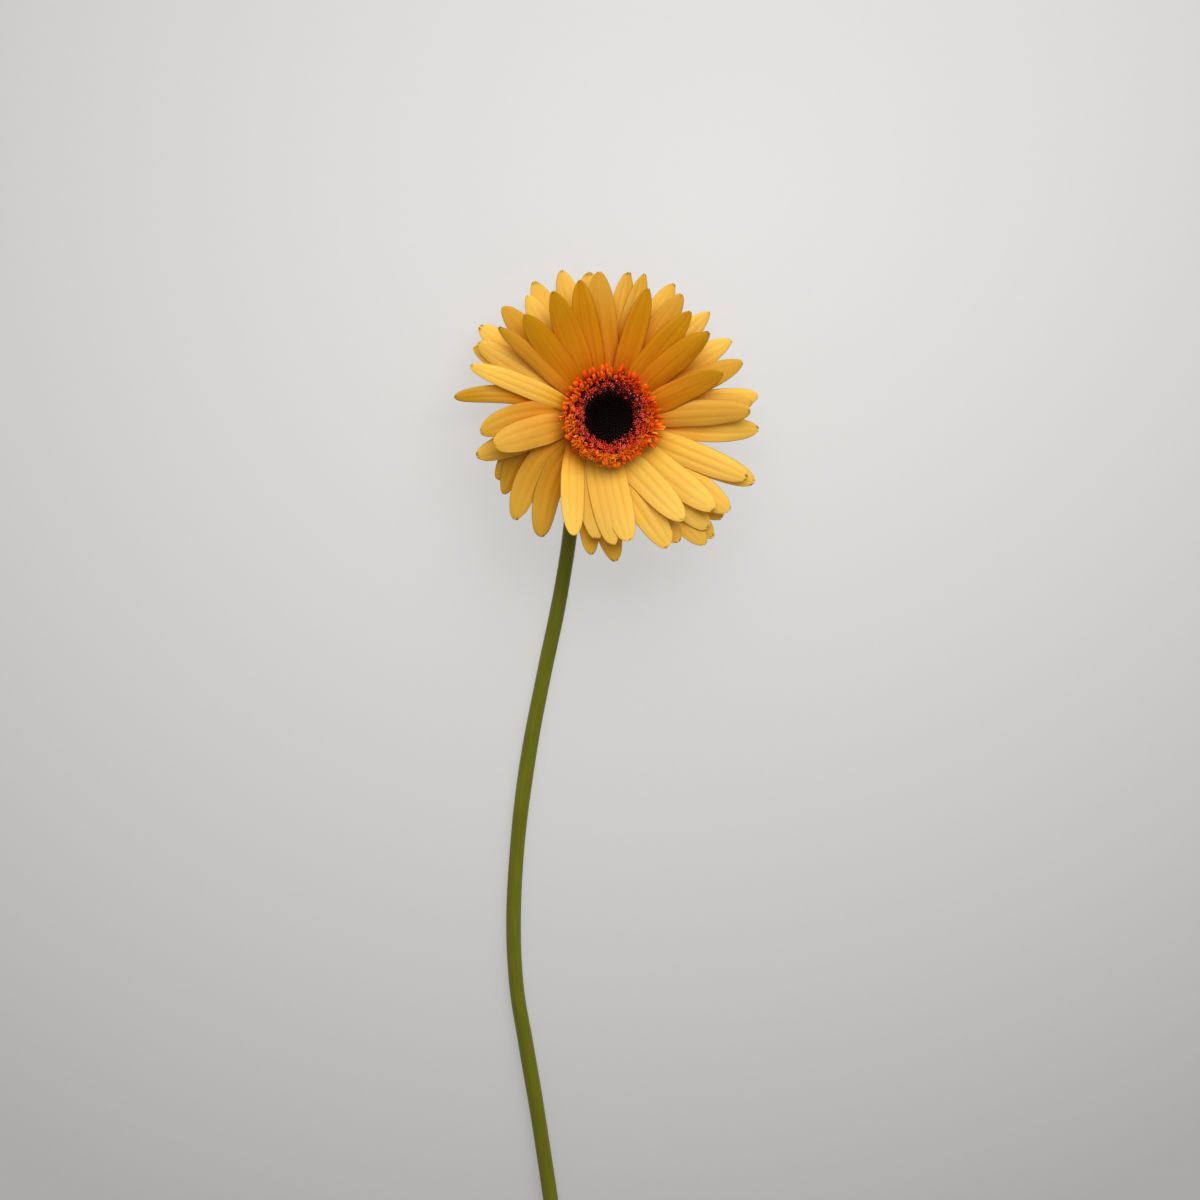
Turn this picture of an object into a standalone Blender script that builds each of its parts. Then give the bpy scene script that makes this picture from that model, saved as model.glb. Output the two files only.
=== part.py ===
"""A cut gerbera daisy, lying on a flat surface.

The stem lies along Y with its cut end at -Y. Its neck bends up and carries the bloom, whose axis
leans forward over the stem's line, so that the reflexed petals at the front reach the surface.
Lengths are in millimetres, and each mesh is made in metres. The origin is on the surface, under
the middle of the whole flower.
"""

import math

import bmesh
import bpy
import numpy as np

MM = 0.001
GAP = 0.3  # clearance between pieces that touch
PLATE_SEGMENTS = 24  # round the flat plates that petals and florets grow from
COLOURS = {
    # linear red, green and blue, and roughness
    "stem_green": ((0.10, 0.125, 0.012), 0.55),
    "bract_green": ((0.12, 0.16, 0.03), 0.6),
    "petal_yellow": ((0.86, 0.48, 0.03), 0.5),
    "floret_orange": ((0.55, 0.11, 0.006), 0.55),
    "floret_dark_red": ((0.20, 0.012, 0.006), 0.5),
    "bud_maroon": ((0.016, 0.003, 0.002), 0.6),
}

# Place and stance of the bloom
BLOOM_PLACE = (-1.0, 137.4)  # where the bloom's centre lies over the surface
BLOOM_LEAN = math.radians(22)  # the bloom's axis leans this far forward from upright
VIEW_TURN = math.radians(14)  # petal tips are given as seen from this far to the bloom's left
VIEW_DIP = math.radians(3)  # and from this far to its front

# Stem
STEM_RADIUS = 2.6
STEM_TOP_RADIUS = 3.0
STEM_SIDES = 12
STEM_STEP = 7.0  # between the stem's rings
NECK_RADIUS = 16.0
NECK_STEPS = 7
NECK_HEADING = math.radians(8)  # the stem's direction where the neck starts, to the right of +Y
# The stem's course on the surface from its cut end, measured from under the bloom's centre
STEM_COURSE = (
    (16.0, -322.0),
    (11.4, -302.0),
    (6.0, -279.0),
    (0.0, -255.0),
    (-5.5, -232.0),
    (-9.0, -205.0),
    (-10.2, -172.0),
    (-9.2, -140.0),
    (-6.6, -110.0),
    (-3.9, -84.0),
    (-2.4, -60.0),
    (-2.2, -40.0),
)

# Involucre, as radius and height along the bloom's axis from the petals' level
CUP_PROFILE = (
    (3.4, -13.5),
    (7.0, -11.6),
    (10.6, -8.4),
    (12.6, -5.6),
    (12.8, -3.3),
)
CUP_SEGMENTS = 20
BRACT_THICKNESS = 0.7
BRACT_OUTLINE = (0.8, 1.0, 0.75, 0.12)  # shares of its width, from its root to its tip
BRACT_ROWS = (
    # count, height of the root and of the tip, how far the tip stands off the cup, width
    (9, -12.2, -7.8, 1.0, 3.6),
    (11, -10.4, -6.0, 1.4, 4.2),
    (13, -8.4, -4.4, 1.9, 4.6),
)

# Ray florets
RAY_CORE_RADIUS = 13.0
RAY_CORE = (-3.0, 1.2)
RAY_ROOT_RADIUS = 9.0
RAY_THICKNESS = 0.7
RAY_ROWS = 7
RAY_SPREAD_POINT = (-4.5, 0.0)  # the petals' lines meet here, seen from the front
EYE_HEIGHT = 5.0  # petal tips are measured from the middle of the disc's surface
ROOT_SHARE = 0.66  # a petal's width at its root over its full width
FULL_WIDTH_AT = 0.42  # the share of its length where a petal is at its full width
TIP_STARTS_AT = 0.6
TIP_WIDTH = 0.12
TIP_POWERS = (2.3, 0.62)
EDGE_DROOP = 0.12
RIDGE = 0.05
ON_SURFACE = None  # in place of a lift: the tip comes down to the surface
PRESS = 0.8  # how far such a tip would reach below the surface if it didn't flatten
FRONT_PETALS = (
    # clock angle of the tip, its reach, its lift above the petals' plane, width, bow, and how far
    # clockwise its root stands off the line from the spread point
    (17, 46.9, 9.0, 8.8, 0.6, 4.4),
    (38, 46.6, 9.5, 9.6, 0.0, 2.6),
    (50, 45.9, 11.0, 9.8, 0.0, 3.4),
    (69, 42.9, 10.0, 9.4, 0.0, 4.4),
    (88, 49.7, 5.0, 9.4, -0.6, 1.0),
    (114, 53.1, 3.0, 9.2, 0.0, 0.0),
    (131, 49.4, 3.0, 9.6, 0.4, -1.0),
    (144, 44.8, 4.5, 9.4, 0.0, 2.0),
    (171, 44.5, 4.0, 9.2, 0.6, -2.6),
    (178, 45.2, 2.0, 8.0, 0.0, 1.6),
    (196, 43.4, 4.0, 8.2, 0.2, 4.8),
    (256, 41.3, 5.0, 10.6, 0.3, -0.6),
    (290, 51.5, 3.0, 7.2, 0.7, 0.0),
    (309, 49.4, 8.5, 5.8, 0.6, 0.4),
    (320, 46.2, 10.0, 9.6, 0.0, 0.9),
    (336, 47.8, 10.5, 9.6, 0.0, 1.9),
    (348, 48.7, 8.0, 9.4, 0.0, 3.4),
)
MIDDLE_PETALS = (
    (31, 50.0, 0.5, 10.4, 0.0, 3.0),
    (68, 50.8, 1.5, 9.6, 0.0, 2.0),
    (84, 50.8, 1.0, 9.2, 0.0, 1.0),
    (128, 53.6, 0.0, 10.2, 0.0, 0.0),
    (138, 52.3, -1.0, 9.8, 0.0, 0.0),
    (155, 50.4, 0.5, 9.8, 0.0, 1.2),
    (185, 43.0, -0.5, 8.6, 1.6, 0.0),
    (222, 48.8, -8.0, 9.2, 4.8, 0.8),
    (263, 45.2, 1.0, 10.0, 3.0, 0.0),
    (299, 52.5, 1.0, 9.6, 0.8, 0.0),
    (316, 53.2, 1.5, 10.2, 0.0, 0.5),
    (356, 50.8, 2.0, 10.4, 0.0, 5.4),
)
BACK_PETALS = (
    (8, 51.5, ON_SURFACE, 9.4, 0.0, 4.0),
    (14, 51.8, ON_SURFACE, 9.4, 0.8, 4.0),
    (26, 52.2, ON_SURFACE, 10.0, 0.0, 3.0),
    (44, 51.1, -3.0, 10.0, 0.0, 2.5),
    (58, 50.8, -2.5, 9.6, 0.0, 2.5),
    (82, 52.9, -2.0, 9.6, 0.0, 1.0),
    (95, 52.9, -1.5, 9.8, 0.6, 0.0),
    (114, 56.2, -1.5, 9.6, 0.0, 0.0),
    (132, 53.4, -3.5, 8.6, 0.0, 0.0),
    (139, 56.1, -4.5, 9.6, 0.0, 0.0),
    (143, 56.4, -3.0, 9.6, 0.0, 0.0),
    (151, 50.4, -2.5, 9.6, 0.0, 0.0),
    (177, 50.8, -4.0, 9.2, 0.8, 0.0),
    (187, 48.7, -5.0, 8.0, 0.8, 0.0),
    (209, 48.3, -9.0, 9.2, 3.6, 0.3),
    (233, 45.5, -11.0, 8.6, 6.4, 3.0),
    (240, 44.5, -10.0, 8.6, 5.0, 2.6),
    (253, 48.3, -4.0, 9.0, 0.0, 0.0),
    (277, 54.4, -1.5, 6.6, 3.4, 0.0),
    (297, 53.2, -2.0, 9.4, 0.6, 0.0),
    (305, 55.0, -2.5, 9.8, 0.0, 0.0),
    (326, 51.1, -3.5, 9.8, 0.0, 0.8),
    (331, 54.6, ON_SURFACE, 10.0, 0.0, 1.2),
    (342, 53.9, ON_SURFACE, 10.0, 0.0, 2.2),
    (352, 51.8, ON_SURFACE, 9.8, 0.0, 3.6),
)
WHORLS = (
    # petals, level of their roots, how late they bend, columns of faces across a petal
    (FRONT_PETALS, 0.4, 1.4, 4),
    (MIDDLE_PETALS, -0.6, 1.5, 2),
    (BACK_PETALS, -1.4, 1.9, 2),
)
PETAL_ROLL = math.radians(7)  # each petal's upper edge dips under its neighbour, on both sides
ROLL_VARIES = math.radians(3)
BOW_VARIES = 0.4
PETAL_SEED = 11

# Trans florets: short curled straps on a plate over the petals' roots
TRANS_PLATE = (13.6, 2.0, 2.8)
TRANS_THICKNESS = 0.6
TRANS_OUTLINE = (0.6, 0.8, 1.0, 0.35)  # shares of a strap's width, from its root to its tip
TRANS_ROWS = (
    # count, turn of the first one, width, radius and height along the strap
    (23, 0.0, 3.2, ((13.1, 2.4), (14.0, 6.0), (15.8, 8.6), (17.6, 8.0))),
    (21, 7.5, 2.8, ((12.9, 2.4), (13.6, 6.8), (14.5, 9.3), (15.9, 9.8))),
)
TRANS_VARIES = 0.7
TRANS_SEED = 23

# Disc florets: small tubes that open in a star, on a plate of their own
DISC_PLATE = (12.4, 3.1, 3.9)
DISC_SIDES = 5
DISC_TUBE_RADIUS = 0.62
DISC_STAR_RADIUS = 1.0
DISC_ROWS = (
    # count, radius, height of the star
    (19, 9.7, 6.6),
    (20, 10.8, 7.7),
    (21, 11.8, 8.6),
)
DISC_VARIES = 0.25
DISC_SEED = 31

# Eye: closed buds on a shallow bowl
EYE_MIDDLE = 0.4  # radius of the small flat where the bowl's faces meet
EYE_PROFILE = ((0.0, 4.2), (8.3, 4.2), (8.3, 5.9), (5.6, 5.1), (2.8, 4.7), (0.0, 4.5))
EYE_SEGMENTS = 20
BUD_COUNT = 46
BUD_FIELD_RADIUS = 7.6
BUD_SIDES = 5
BUD_RADIUS = 0.68
BUD_TOP_RADIUS = 0.34
BUD_HEIGHT = 0.8
BUD_SUNK = 0.3
GOLDEN_ANGLE = math.pi * (3 - math.sqrt(5))


def unit(vector):
    return np.asarray(vector, float) / np.linalg.norm(vector)


# The bloom's own directions, and those of a viewer in front of it
ACROSS = np.array((1.0, 0.0, 0.0))
FORWARD = np.array((0.0, math.cos(BLOOM_LEAN), -math.sin(BLOOM_LEAN)))
AXIS = np.array((0.0, math.sin(BLOOM_LEAN), math.cos(BLOOM_LEAN)))
TO_VIEWER = unit(-math.tan(VIEW_TURN) * ACROSS + math.tan(VIEW_DIP) * FORWARD + AXIS)
VIEWER_UP = unit(FORWARD - (FORWARD @ TO_VIEWER) * TO_VIEWER)
VIEWER_RIGHT = np.cross(VIEWER_UP, TO_VIEWER)

# The neck is an arc from the stem's heading on the surface to the bloom's axis
HEADING = np.array((math.sin(NECK_HEADING), math.cos(NECK_HEADING), 0.0))
NECK_TURN = math.acos(HEADING @ AXIS)
NECK_UP = unit(AXIS - (AXIS @ HEADING) * HEADING)
REST_HEIGHT = STEM_RADIUS * math.cos(math.pi / STEM_SIDES)  # a flat side lies on the surface
NECK_SPAN = NECK_RADIUS * (math.sin(NECK_TURN) * HEADING + (1 - math.cos(NECK_TURN)) * NECK_UP)
STEM_TOP = CUP_PROFILE[0][1] - GAP
CENTRE = np.array((*BLOOM_PLACE, REST_HEIGHT + NECK_SPAN[2] - STEM_TOP * AXIS[2]))


def bloom_point(radius, turn, height):
    """Points at a radius from the bloom's axis, turned clockwise from its front, at a height."""
    radius, turn, height = np.broadcast_arrays(radius, turn, height)
    spoke = np.sin(turn)[..., None] * ACROSS + np.cos(turn)[..., None] * FORWARD
    return CENTRE + radius[..., None] * spoke + height[..., None] * AXIS


def front_point(x, y, height):
    """Points that a viewer sees at x and y from the bloom's centre, at a height over its plane."""
    right, up, back = VIEWER_RIGHT, VIEWER_UP, TO_VIEWER
    depth = (height - x * (right @ AXIS) - y * (up @ AXIS)) / (back @ AXIS)
    return CENTRE + x[..., None] * right + y[..., None] * up + depth[..., None] * back


def paint(piece, name):
    """Gives a piece a material of its own, by the colour's name."""
    colour, roughness = COLOURS[name]
    made = bpy.data.materials.new(name)
    made.use_nodes = True
    shader = made.node_tree.nodes["Principled BSDF"]
    shader.inputs["Base Color"].default_value = (*colour, 1.0)
    shader.inputs["Roughness"].default_value = roughness
    shader.inputs["Metallic"].default_value = 0.0
    piece.data.materials.append(made)


def solid(name, points, faces):
    """An object from points in millimetres, with its faces turned outwards."""
    mesh = bpy.data.meshes.new(name)
    mesh.from_pydata((np.reshape(points, (-1, 3)) * MM).tolist(), [], faces)
    shaped = bmesh.new()
    shaped.from_mesh(mesh)
    bmesh.ops.triangulate(shaped, faces=shaped.faces[:])
    bmesh.ops.recalc_face_normals(shaped, faces=shaped.faces[:])
    shaped.to_mesh(mesh)
    shaped.free()
    made = bpy.data.objects.new(name, mesh)
    bpy.context.scene.collection.objects.link(made)
    return made


def blade(name, middle, offset):
    """A thin closed solid round a grid of points, with the same triangles on both faces."""
    rows, columns = middle.shape[:2]
    points = np.stack((middle + offset / 2, middle - offset / 2))
    number = np.arange(2 * rows * columns).reshape(2, rows, columns)
    top, bottom = number
    faces = []
    for i in range(rows - 1):
        for j in range(columns - 1):
            cell = [(i, j), (i, j + 1), (i + 1, j + 1), (i + 1, j)]
            a, b, c, d = (top[at] for at in cell)
            faces += [(a, b, c), (a, c, d)]
            a, b, c, d = (bottom[at] for at in cell)
            faces += [(a, c, b), (a, d, c)]
    rim = [(i, 0) for i in range(rows)] + [(rows - 1, j) for j in range(1, columns)]
    rim += [(i, columns - 1) for i in range(rows - 2, -1, -1)]
    rim += [(0, j) for j in range(columns - 2, 0, -1)]
    for here, there in zip(rim, rim[1:] + rim[:1]):
        faces.append((top[here], top[there], bottom[there], bottom[here]))
    return solid(name, points, faces)


def rings(name, points):
    """A closed solid from a stack of rings of points, with a flat cap at each end."""
    count, sides = points.shape[:2]
    number = np.arange(count * sides).reshape(count, sides)
    faces = [tuple(number[0]), tuple(number[-1])]
    for below, above in zip(number, number[1:]):
        for k in range(sides):
            after = (k + 1) % sides
            faces.append((below[k], below[after], above[after], above[k]))
    return solid(name, points, faces)


def turned(name, profile, segments):
    """A body turned round the bloom's axis from radii above zero and heights, capped flat."""
    turn = np.arange(segments) * 2 * math.pi / segments
    radius, height = np.array(profile, float).T
    return rings(name, bloom_point(radius[:, None], turn[None, :], height[:, None]))


def largest_shell(mesh):
    """Keeps the outer surface alone: sealed hollows are filled and loose scraps dropped."""
    shaped = bmesh.new()
    shaped.from_mesh(mesh)
    left = set(shaped.verts)
    shells = []
    while left:
        shell = {left.pop()}
        edge = list(shell)
        while edge:
            near = {e.other_vert(v) for v in edge for e in v.link_edges} - shell
            shell |= near
            edge = list(near)
        left -= shell
        shells.append(shell)
    shells.sort(key=len)
    scraps = [v for shell in shells[:-1] for v in shell]
    bmesh.ops.delete(shaped, geom=scraps, context="VERTS")
    shaped.to_mesh(mesh)
    shaped.free()


def fuse(core, pieces):
    """Joins the pieces to the core they grow from, in one solid."""
    group = bpy.data.collections.new(core.name + "_pieces")
    for piece in pieces:
        group.objects.link(piece)
    union = core.modifiers.new("fuse", "BOOLEAN")
    union.operation = "UNION"
    union.operand_type = "COLLECTION"
    union.collection = group
    union.solver = "MANIFOLD"
    fused = core.evaluated_get(bpy.context.evaluated_depsgraph_get())
    joined = bpy.data.meshes.new_from_object(fused)
    core.modifiers.remove(union)
    core.data = joined
    for piece in pieces:
        bpy.data.objects.remove(piece)
    bpy.data.collections.remove(group)
    largest_shell(joined)


def smooth_course(points, step):
    """A smooth curve through the points, with a point about every step."""
    points = np.array(points, float)
    before = np.vstack((2 * points[0] - points[1], points[:-1]))
    after = np.vstack((points[1:], 2 * points[-1] - points[-2]))
    slope = (after - before) / 2
    course = []
    for k in range(len(points) - 1):
        pieces = max(1, round(np.linalg.norm(points[k + 1] - points[k]) / step))
        t = (np.arange(pieces) / pieces)[:, None]
        course.append(
            (2 * t**3 - 3 * t**2 + 1) * points[k]
            + (t**3 - 2 * t**2 + t) * slope[k]
            + (3 * t**2 - 2 * t**3) * points[k + 1]
            + (t**3 - t**2) * slope[k + 1]
        )
    return np.vstack((*course, points[-1:]))


def make_stem():
    """A slim tube along the surface and up the neck, with a flat side underneath."""
    top = CENTRE + STEM_TOP * AXIS
    neck_start = top - NECK_SPAN
    course = [(x + BLOOM_PLACE[0], y + BLOOM_PLACE[1], REST_HEIGHT) for x, y in STEM_COURSE]
    lying = smooth_course([*course, neck_start], STEM_STEP)[:-1]
    turn = np.linspace(0, NECK_TURN, NECK_STEPS + 1)[:, None]
    neck = neck_start + NECK_RADIUS * (np.sin(turn) * HEADING + (1 - np.cos(turn)) * NECK_UP)
    middle = np.vstack((lying, neck))
    along = np.gradient(middle, axis=0)
    along[-1] = AXIS
    along /= np.linalg.norm(along, axis=1)[:, None]
    side = np.cross(along, (0, 0, 1))
    side /= np.linalg.norm(side, axis=1)[:, None]
    up = np.cross(side, along)
    radius = np.full(len(middle), STEM_RADIUS)
    radius[-len(neck) :] = np.linspace(STEM_RADIUS, STEM_TOP_RADIUS, len(neck))
    around = (np.arange(STEM_SIDES) + 0.5) * 2 * math.pi / STEM_SIDES
    ring = np.cos(around)[None, :, None] * side[:, None] + np.sin(around)[None, :, None] * up[:, None]
    stem = rings("stem", middle[:, None] + radius[:, None, None] * ring)
    paint(stem, "stem_green")


def make_involucre():
    """The green cup under the petals, with overlapping pointed bracts in rows."""
    cup = turned("involucre", CUP_PROFILE, CUP_SEGMENTS)
    radii, heights = np.array(CUP_PROFILE, float).T
    bracts = []
    for row, (count, root, tip, stand_off, width) in enumerate(BRACT_ROWS):
        along = np.linspace(0, 1, len(BRACT_OUTLINE))
        height = root + along * (tip - root)
        radius = np.interp(height, heights, radii) + along**2 * stand_off
        half = width / 2 * np.array(BRACT_OUTLINE)
        for k in range(count):
            turn = (k + row / 2) * 2 * math.pi / count
            spine = bloom_point(radius, turn, height)
            side = bloom_point(1.0, turn + math.pi / 2, 0.0) - CENTRE
            out = bloom_point(1.0, turn, 0.0) - CENTRE
            middle = spine[:, None] + half[:, None, None] * np.array((1, -1))[:, None] * side
            bracts.append(blade("bract", middle, BRACT_THICKNESS * out))
    fuse(cup, bracts)
    paint(cup, "bract_green")


def petal_half_width(along, width):
    """Widens smoothly from the root, stays full, and closes to a blunt point."""
    opened = np.clip(along / FULL_WIDTH_AT, 0, 1)
    opened = opened**2 * (3 - 2 * opened)
    closing = np.clip((along - TIP_STARTS_AT) / (1 - TIP_STARTS_AT), 0, 1)
    tip = (1 - closing ** TIP_POWERS[0]) ** TIP_POWERS[1]
    return width / 2 * (ROOT_SHARE + (1 - ROOT_SHARE) * opened) * np.maximum(tip, TIP_WIDTH)


def surface_lift(x, y):
    """The lift over the petals' plane that brings a tip down to the surface."""
    level = front_point(x, y, np.zeros_like(x))[..., 2]
    return (-PRESS - level) / (TO_VIEWER[2] / (TO_VIEWER @ AXIS))


def petal_middle(petal, level, bend, columns, draw):
    """A petal's middle surface as a grid of points, and the direction of its thickness."""
    clock, reach, lift, width, bow, shift = petal
    clock = math.radians(clock)
    eye = EYE_HEIGHT * np.array((VIEWER_RIGHT @ AXIS, VIEWER_UP @ AXIS))
    tip = eye + reach * np.array((math.sin(clock), math.cos(clock)))
    spread = np.array(RAY_SPREAD_POINT)
    heading = unit(tip - spread)
    inward = -spread @ heading
    root = spread + heading * (inward + math.sqrt(RAY_ROOT_RADIUS**2 + inward**2 - spread @ spread))
    along = np.sin(np.linspace(0, math.pi / 2, RAY_ROWS + 1))
    bow += draw.uniform(-BOW_VARIES, BOW_VARIES)
    sideways = bow * np.sin(math.pi * along) + shift * (1 - along)
    seen = root + along[:, None] * (tip - root)
    seen += sideways[:, None] * np.array((heading[1], -heading[0]))
    if lift is ON_SURFACE:
        lift = surface_lift(tip[0], tip[1])
    height = level + (lift - level) * along**bend
    spine = front_point(seen[:, 0], seen[:, 1], height)
    chord = unit(spine[-1] - spine[0])
    flat_side = unit(np.cross(chord, AXIS))
    flat_normal = np.cross(flat_side, chord)
    roll = math.copysign(PETAL_ROLL, math.sin(clock)) + draw.uniform(-ROLL_VARIES, ROLL_VARIES)
    side = math.cos(roll) * flat_side - math.sin(roll) * flat_normal
    normal = np.cross(side, chord)
    across = np.array((-1, 0, 1)) if columns == 2 else np.array((-1, -1 / 3, 0, 1 / 3, 1))
    crown = RIDGE * np.cos(3 * math.pi * across) - EDGE_DROOP * across**2
    half = petal_half_width(along, width)[:, None, None]
    middle = spine[:, None] + half * (across[:, None] * side + crown[:, None] * normal)
    offset = RAY_THICKNESS * normal
    middle[..., 2] = np.maximum(middle[..., 2], offset[2] / 2)
    return middle, offset


def make_ray_florets():
    """All the yellow petals in their whorls, fused to the flat receptacle they grow from."""
    low, high = RAY_CORE
    core = turned("ray_florets", ((RAY_CORE_RADIUS, low), (RAY_CORE_RADIUS, high)), PLATE_SEGMENTS)
    draw = np.random.default_rng(PETAL_SEED)
    petals = []
    for listed, level, bend, columns in WHORLS:
        for petal in listed:
            petals.append(blade("petal", *petal_middle(petal, level, bend, columns, draw)))
    fuse(core, petals)
    paint(core, "petal_yellow")


def make_trans_florets():
    """The ring of short curled orange straps inside the petals."""
    radius, low, high = TRANS_PLATE
    plate = turned("trans_florets", ((radius, low), (radius, high)), PLATE_SEGMENTS)
    draw = np.random.default_rng(TRANS_SEED)
    straps = []
    for count, first, width, path in TRANS_ROWS:
        for k in range(count):
            turn = math.radians(first) + k * 2 * math.pi / count
            line = np.array(path, float)
            astray = draw.uniform(-TRANS_VARIES, TRANS_VARIES, 2)
            line += np.linspace(0, 1, len(line))[:, None] * astray
            slope = np.gradient(line, axis=0)
            slope /= np.linalg.norm(slope, axis=1)[:, None]
            out = bloom_point(1.0, turn, 0.0) - CENTRE
            side = bloom_point(1.0, turn + math.pi / 2, 0.0) - CENTRE
            normal = slope[:, :1] * AXIS - slope[:, 1:] * out
            spine = bloom_point(line[:, 0], turn, line[:, 1])
            half = width / 2 * np.array(TRANS_OUTLINE)
            middle = spine[:, None] + half[:, None, None] * np.array((-1, 1))[:, None] * side
            straps.append(blade("strap", middle, TRANS_THICKNESS * normal[:, None]))
    fuse(plate, straps)
    paint(plate, "floret_orange")


def small_tube(name, turn, radius, foot, top, sides, foot_radius, top_radius):
    """A small tube along the bloom's axis, at a turn and a radius from it."""
    around = np.arange(sides) * 2 * math.pi / sides + turn
    middle = bloom_point(radius, turn, 0.0)
    spokes = bloom_point(1.0, around, 0.0) - CENTRE
    low = middle + foot_radius * spokes + foot * AXIS
    high = middle + top_radius * spokes + top * AXIS
    return rings(name, np.array((low, high)))


def make_disc_florets():
    """The dark red ring of small open tubes between the straps and the eye."""
    radius, low, high = DISC_PLATE
    plate = turned("disc_florets", ((radius, low), (radius, high)), PLATE_SEGMENTS)
    draw = np.random.default_rng(DISC_SEED)
    tubes = []
    for row, (count, ring, height) in enumerate(DISC_ROWS):
        for k in range(count):
            turn = (k + row / 2) * 2 * math.pi / count
            top = height + draw.uniform(-DISC_VARIES, DISC_VARIES)
            size = (DISC_SIDES, DISC_TUBE_RADIUS, DISC_STAR_RADIUS)
            tubes.append(small_tube("tube", turn, ring, (low + high) / 2, top, *size))
    fuse(plate, tubes)
    paint(plate, "floret_dark_red")


def make_disc_eye():
    """The black-maroon middle: closed buds packed in a spiral on a shallow bowl."""
    profile = [(max(radius, EYE_MIDDLE), height) for radius, height in EYE_PROFILE]
    bowl = turned("disc_eye", profile, EYE_SEGMENTS)
    surface = sorted(EYE_PROFILE[2:])
    buds = []
    for k in range(BUD_COUNT):
        ring = BUD_FIELD_RADIUS * math.sqrt((k + 0.5) / BUD_COUNT)
        level = np.interp(ring, *np.array(surface).T)
        size = (BUD_SIDES, BUD_RADIUS, BUD_TOP_RADIUS)
        foot, top = level - BUD_SUNK, level + BUD_HEIGHT
        buds.append(small_tube("bud", k * GOLDEN_ANGLE, ring, foot, top, *size))
    fuse(bowl, buds)
    paint(bowl, "bud_maroon")


def make_gerbera():
    for old in list(bpy.data.objects):
        bpy.data.objects.remove(old)
    make_stem()
    make_involucre()
    make_ray_florets()
    make_trans_florets()
    make_disc_florets()
    make_disc_eye()


make_gerbera()
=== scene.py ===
import math

import bpy
import numpy as np
from mathutils import Matrix


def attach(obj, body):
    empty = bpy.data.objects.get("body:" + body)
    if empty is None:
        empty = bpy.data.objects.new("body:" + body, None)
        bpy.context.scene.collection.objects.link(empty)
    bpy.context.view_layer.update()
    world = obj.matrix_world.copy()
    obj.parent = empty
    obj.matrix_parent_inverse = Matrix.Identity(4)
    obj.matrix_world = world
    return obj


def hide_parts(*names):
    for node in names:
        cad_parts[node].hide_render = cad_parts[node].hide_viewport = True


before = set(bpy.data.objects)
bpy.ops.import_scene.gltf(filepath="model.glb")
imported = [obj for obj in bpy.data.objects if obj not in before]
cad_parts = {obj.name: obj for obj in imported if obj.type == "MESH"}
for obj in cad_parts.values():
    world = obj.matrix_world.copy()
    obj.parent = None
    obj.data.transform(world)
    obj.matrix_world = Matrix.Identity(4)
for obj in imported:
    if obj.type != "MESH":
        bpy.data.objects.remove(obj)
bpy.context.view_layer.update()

millimetre = 0.001  # shapes are worked out in millimetres
print("frame loaded:", sorted(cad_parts))

bloom = {
    "place": (-1.0, 137.4),  # where its centre lies over the surface
    "lean": 22.0,  # degrees from upright, towards +Y
    "viewTurn": 14.0,  # the petals are laid out as seen from this far to the left
    "viewDip": 3.0,  # and from this far to the front
    "eyeHeight": 5.0,
    "stemTop": -13.8,
    "neckRadius": 16.0,
    "neckHeading": 8.0,
    "stemRadius": 2.6,
    "flatSides": 12,  # the stem's underside is as flat as that of a tube with so many sides
    "bedSegments": 64,  # of the beds under the florets
}
hairClear = 0.02  # no hair reaches lower over the surface


# a vector, or each vector of an array, at length one
def unit(vector):
    vector = np.asarray(vector, float)
    return vector / np.linalg.norm(vector, axis=-1, keepdims=True)


lean = math.radians(bloom["lean"])
acrossWay = np.array((1.0, 0.0, 0.0))
forwardWay = np.array((0.0, math.cos(lean), -math.sin(lean)))
axis = np.array((0.0, math.sin(lean), math.cos(lean)))
turnShare, dipShare = (math.tan(math.radians(bloom[key])) for key in ("viewTurn", "viewDip"))
toViewer = unit(-turnShare * acrossWay + dipShare * forwardWay + axis)
viewerUp = unit(forwardWay - (forwardWay @ toViewer) * toViewer)
viewerRight = np.cross(viewerUp, toViewer)

heading = math.radians(bloom["neckHeading"])
headingWay = np.array((math.sin(heading), math.cos(heading), 0.0))
neckTurn = math.acos(headingWay @ axis)
neckUp = unit(axis - (axis @ headingWay) * headingWay)
restHeight = bloom["stemRadius"] * math.cos(math.pi / bloom["flatSides"])
neckSpan = bloom["neckRadius"] * (math.sin(neckTurn) * headingWay + (1 - math.cos(neckTurn)) * neckUp)
centre = np.array((*bloom["place"], restHeight + neckSpan[2] - bloom["stemTop"] * axis[2]))


# centre + radius * (sin(turn) * across + cos(turn) * forward) + height * axis
def bloomPoint(radius, turn, height):
    radius, turn, height = np.broadcast_arrays(radius, turn, height)
    spoke = np.sin(turn)[..., None] * acrossWay + np.cos(turn)[..., None] * forwardWay
    return centre + radius[..., None] * spoke + height[..., None] * axis


# the same without the centre: a direction in the bloom's own frame
def bloomWay(radius, turn, height):
    return bloomPoint(radius, turn, height) - centre


# the point that the viewer sees at x and y and that lies at a height over the bloom's plane
def frontPoint(x, y, height):
    depth = (height - x * (viewerRight @ axis) - y * (viewerUp @ axis)) / (toViewer @ axis)
    return centre + x[..., None] * viewerRight + y[..., None] * viewerUp + depth[..., None] * toViewer


# 0 below the first value, 1 above the second and 3s^2 - 2s^3 between them
def easeIn(value, start, end):
    share = np.clip((value - start) / (end - start), 0, 1)
    return share * share * (3 - 2 * share)


# evenly spaced turns round a circle, in radians
def evenTurns(count):
    return np.arange(count) * 2 * math.pi / count


# directions round a line: cos(turn) * side + sin(turn) * other
def spokes(turn, side, other):
    return np.cos(turn)[..., None] * side[:, None] + np.sin(turn)[..., None] * other[:, None]


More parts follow.
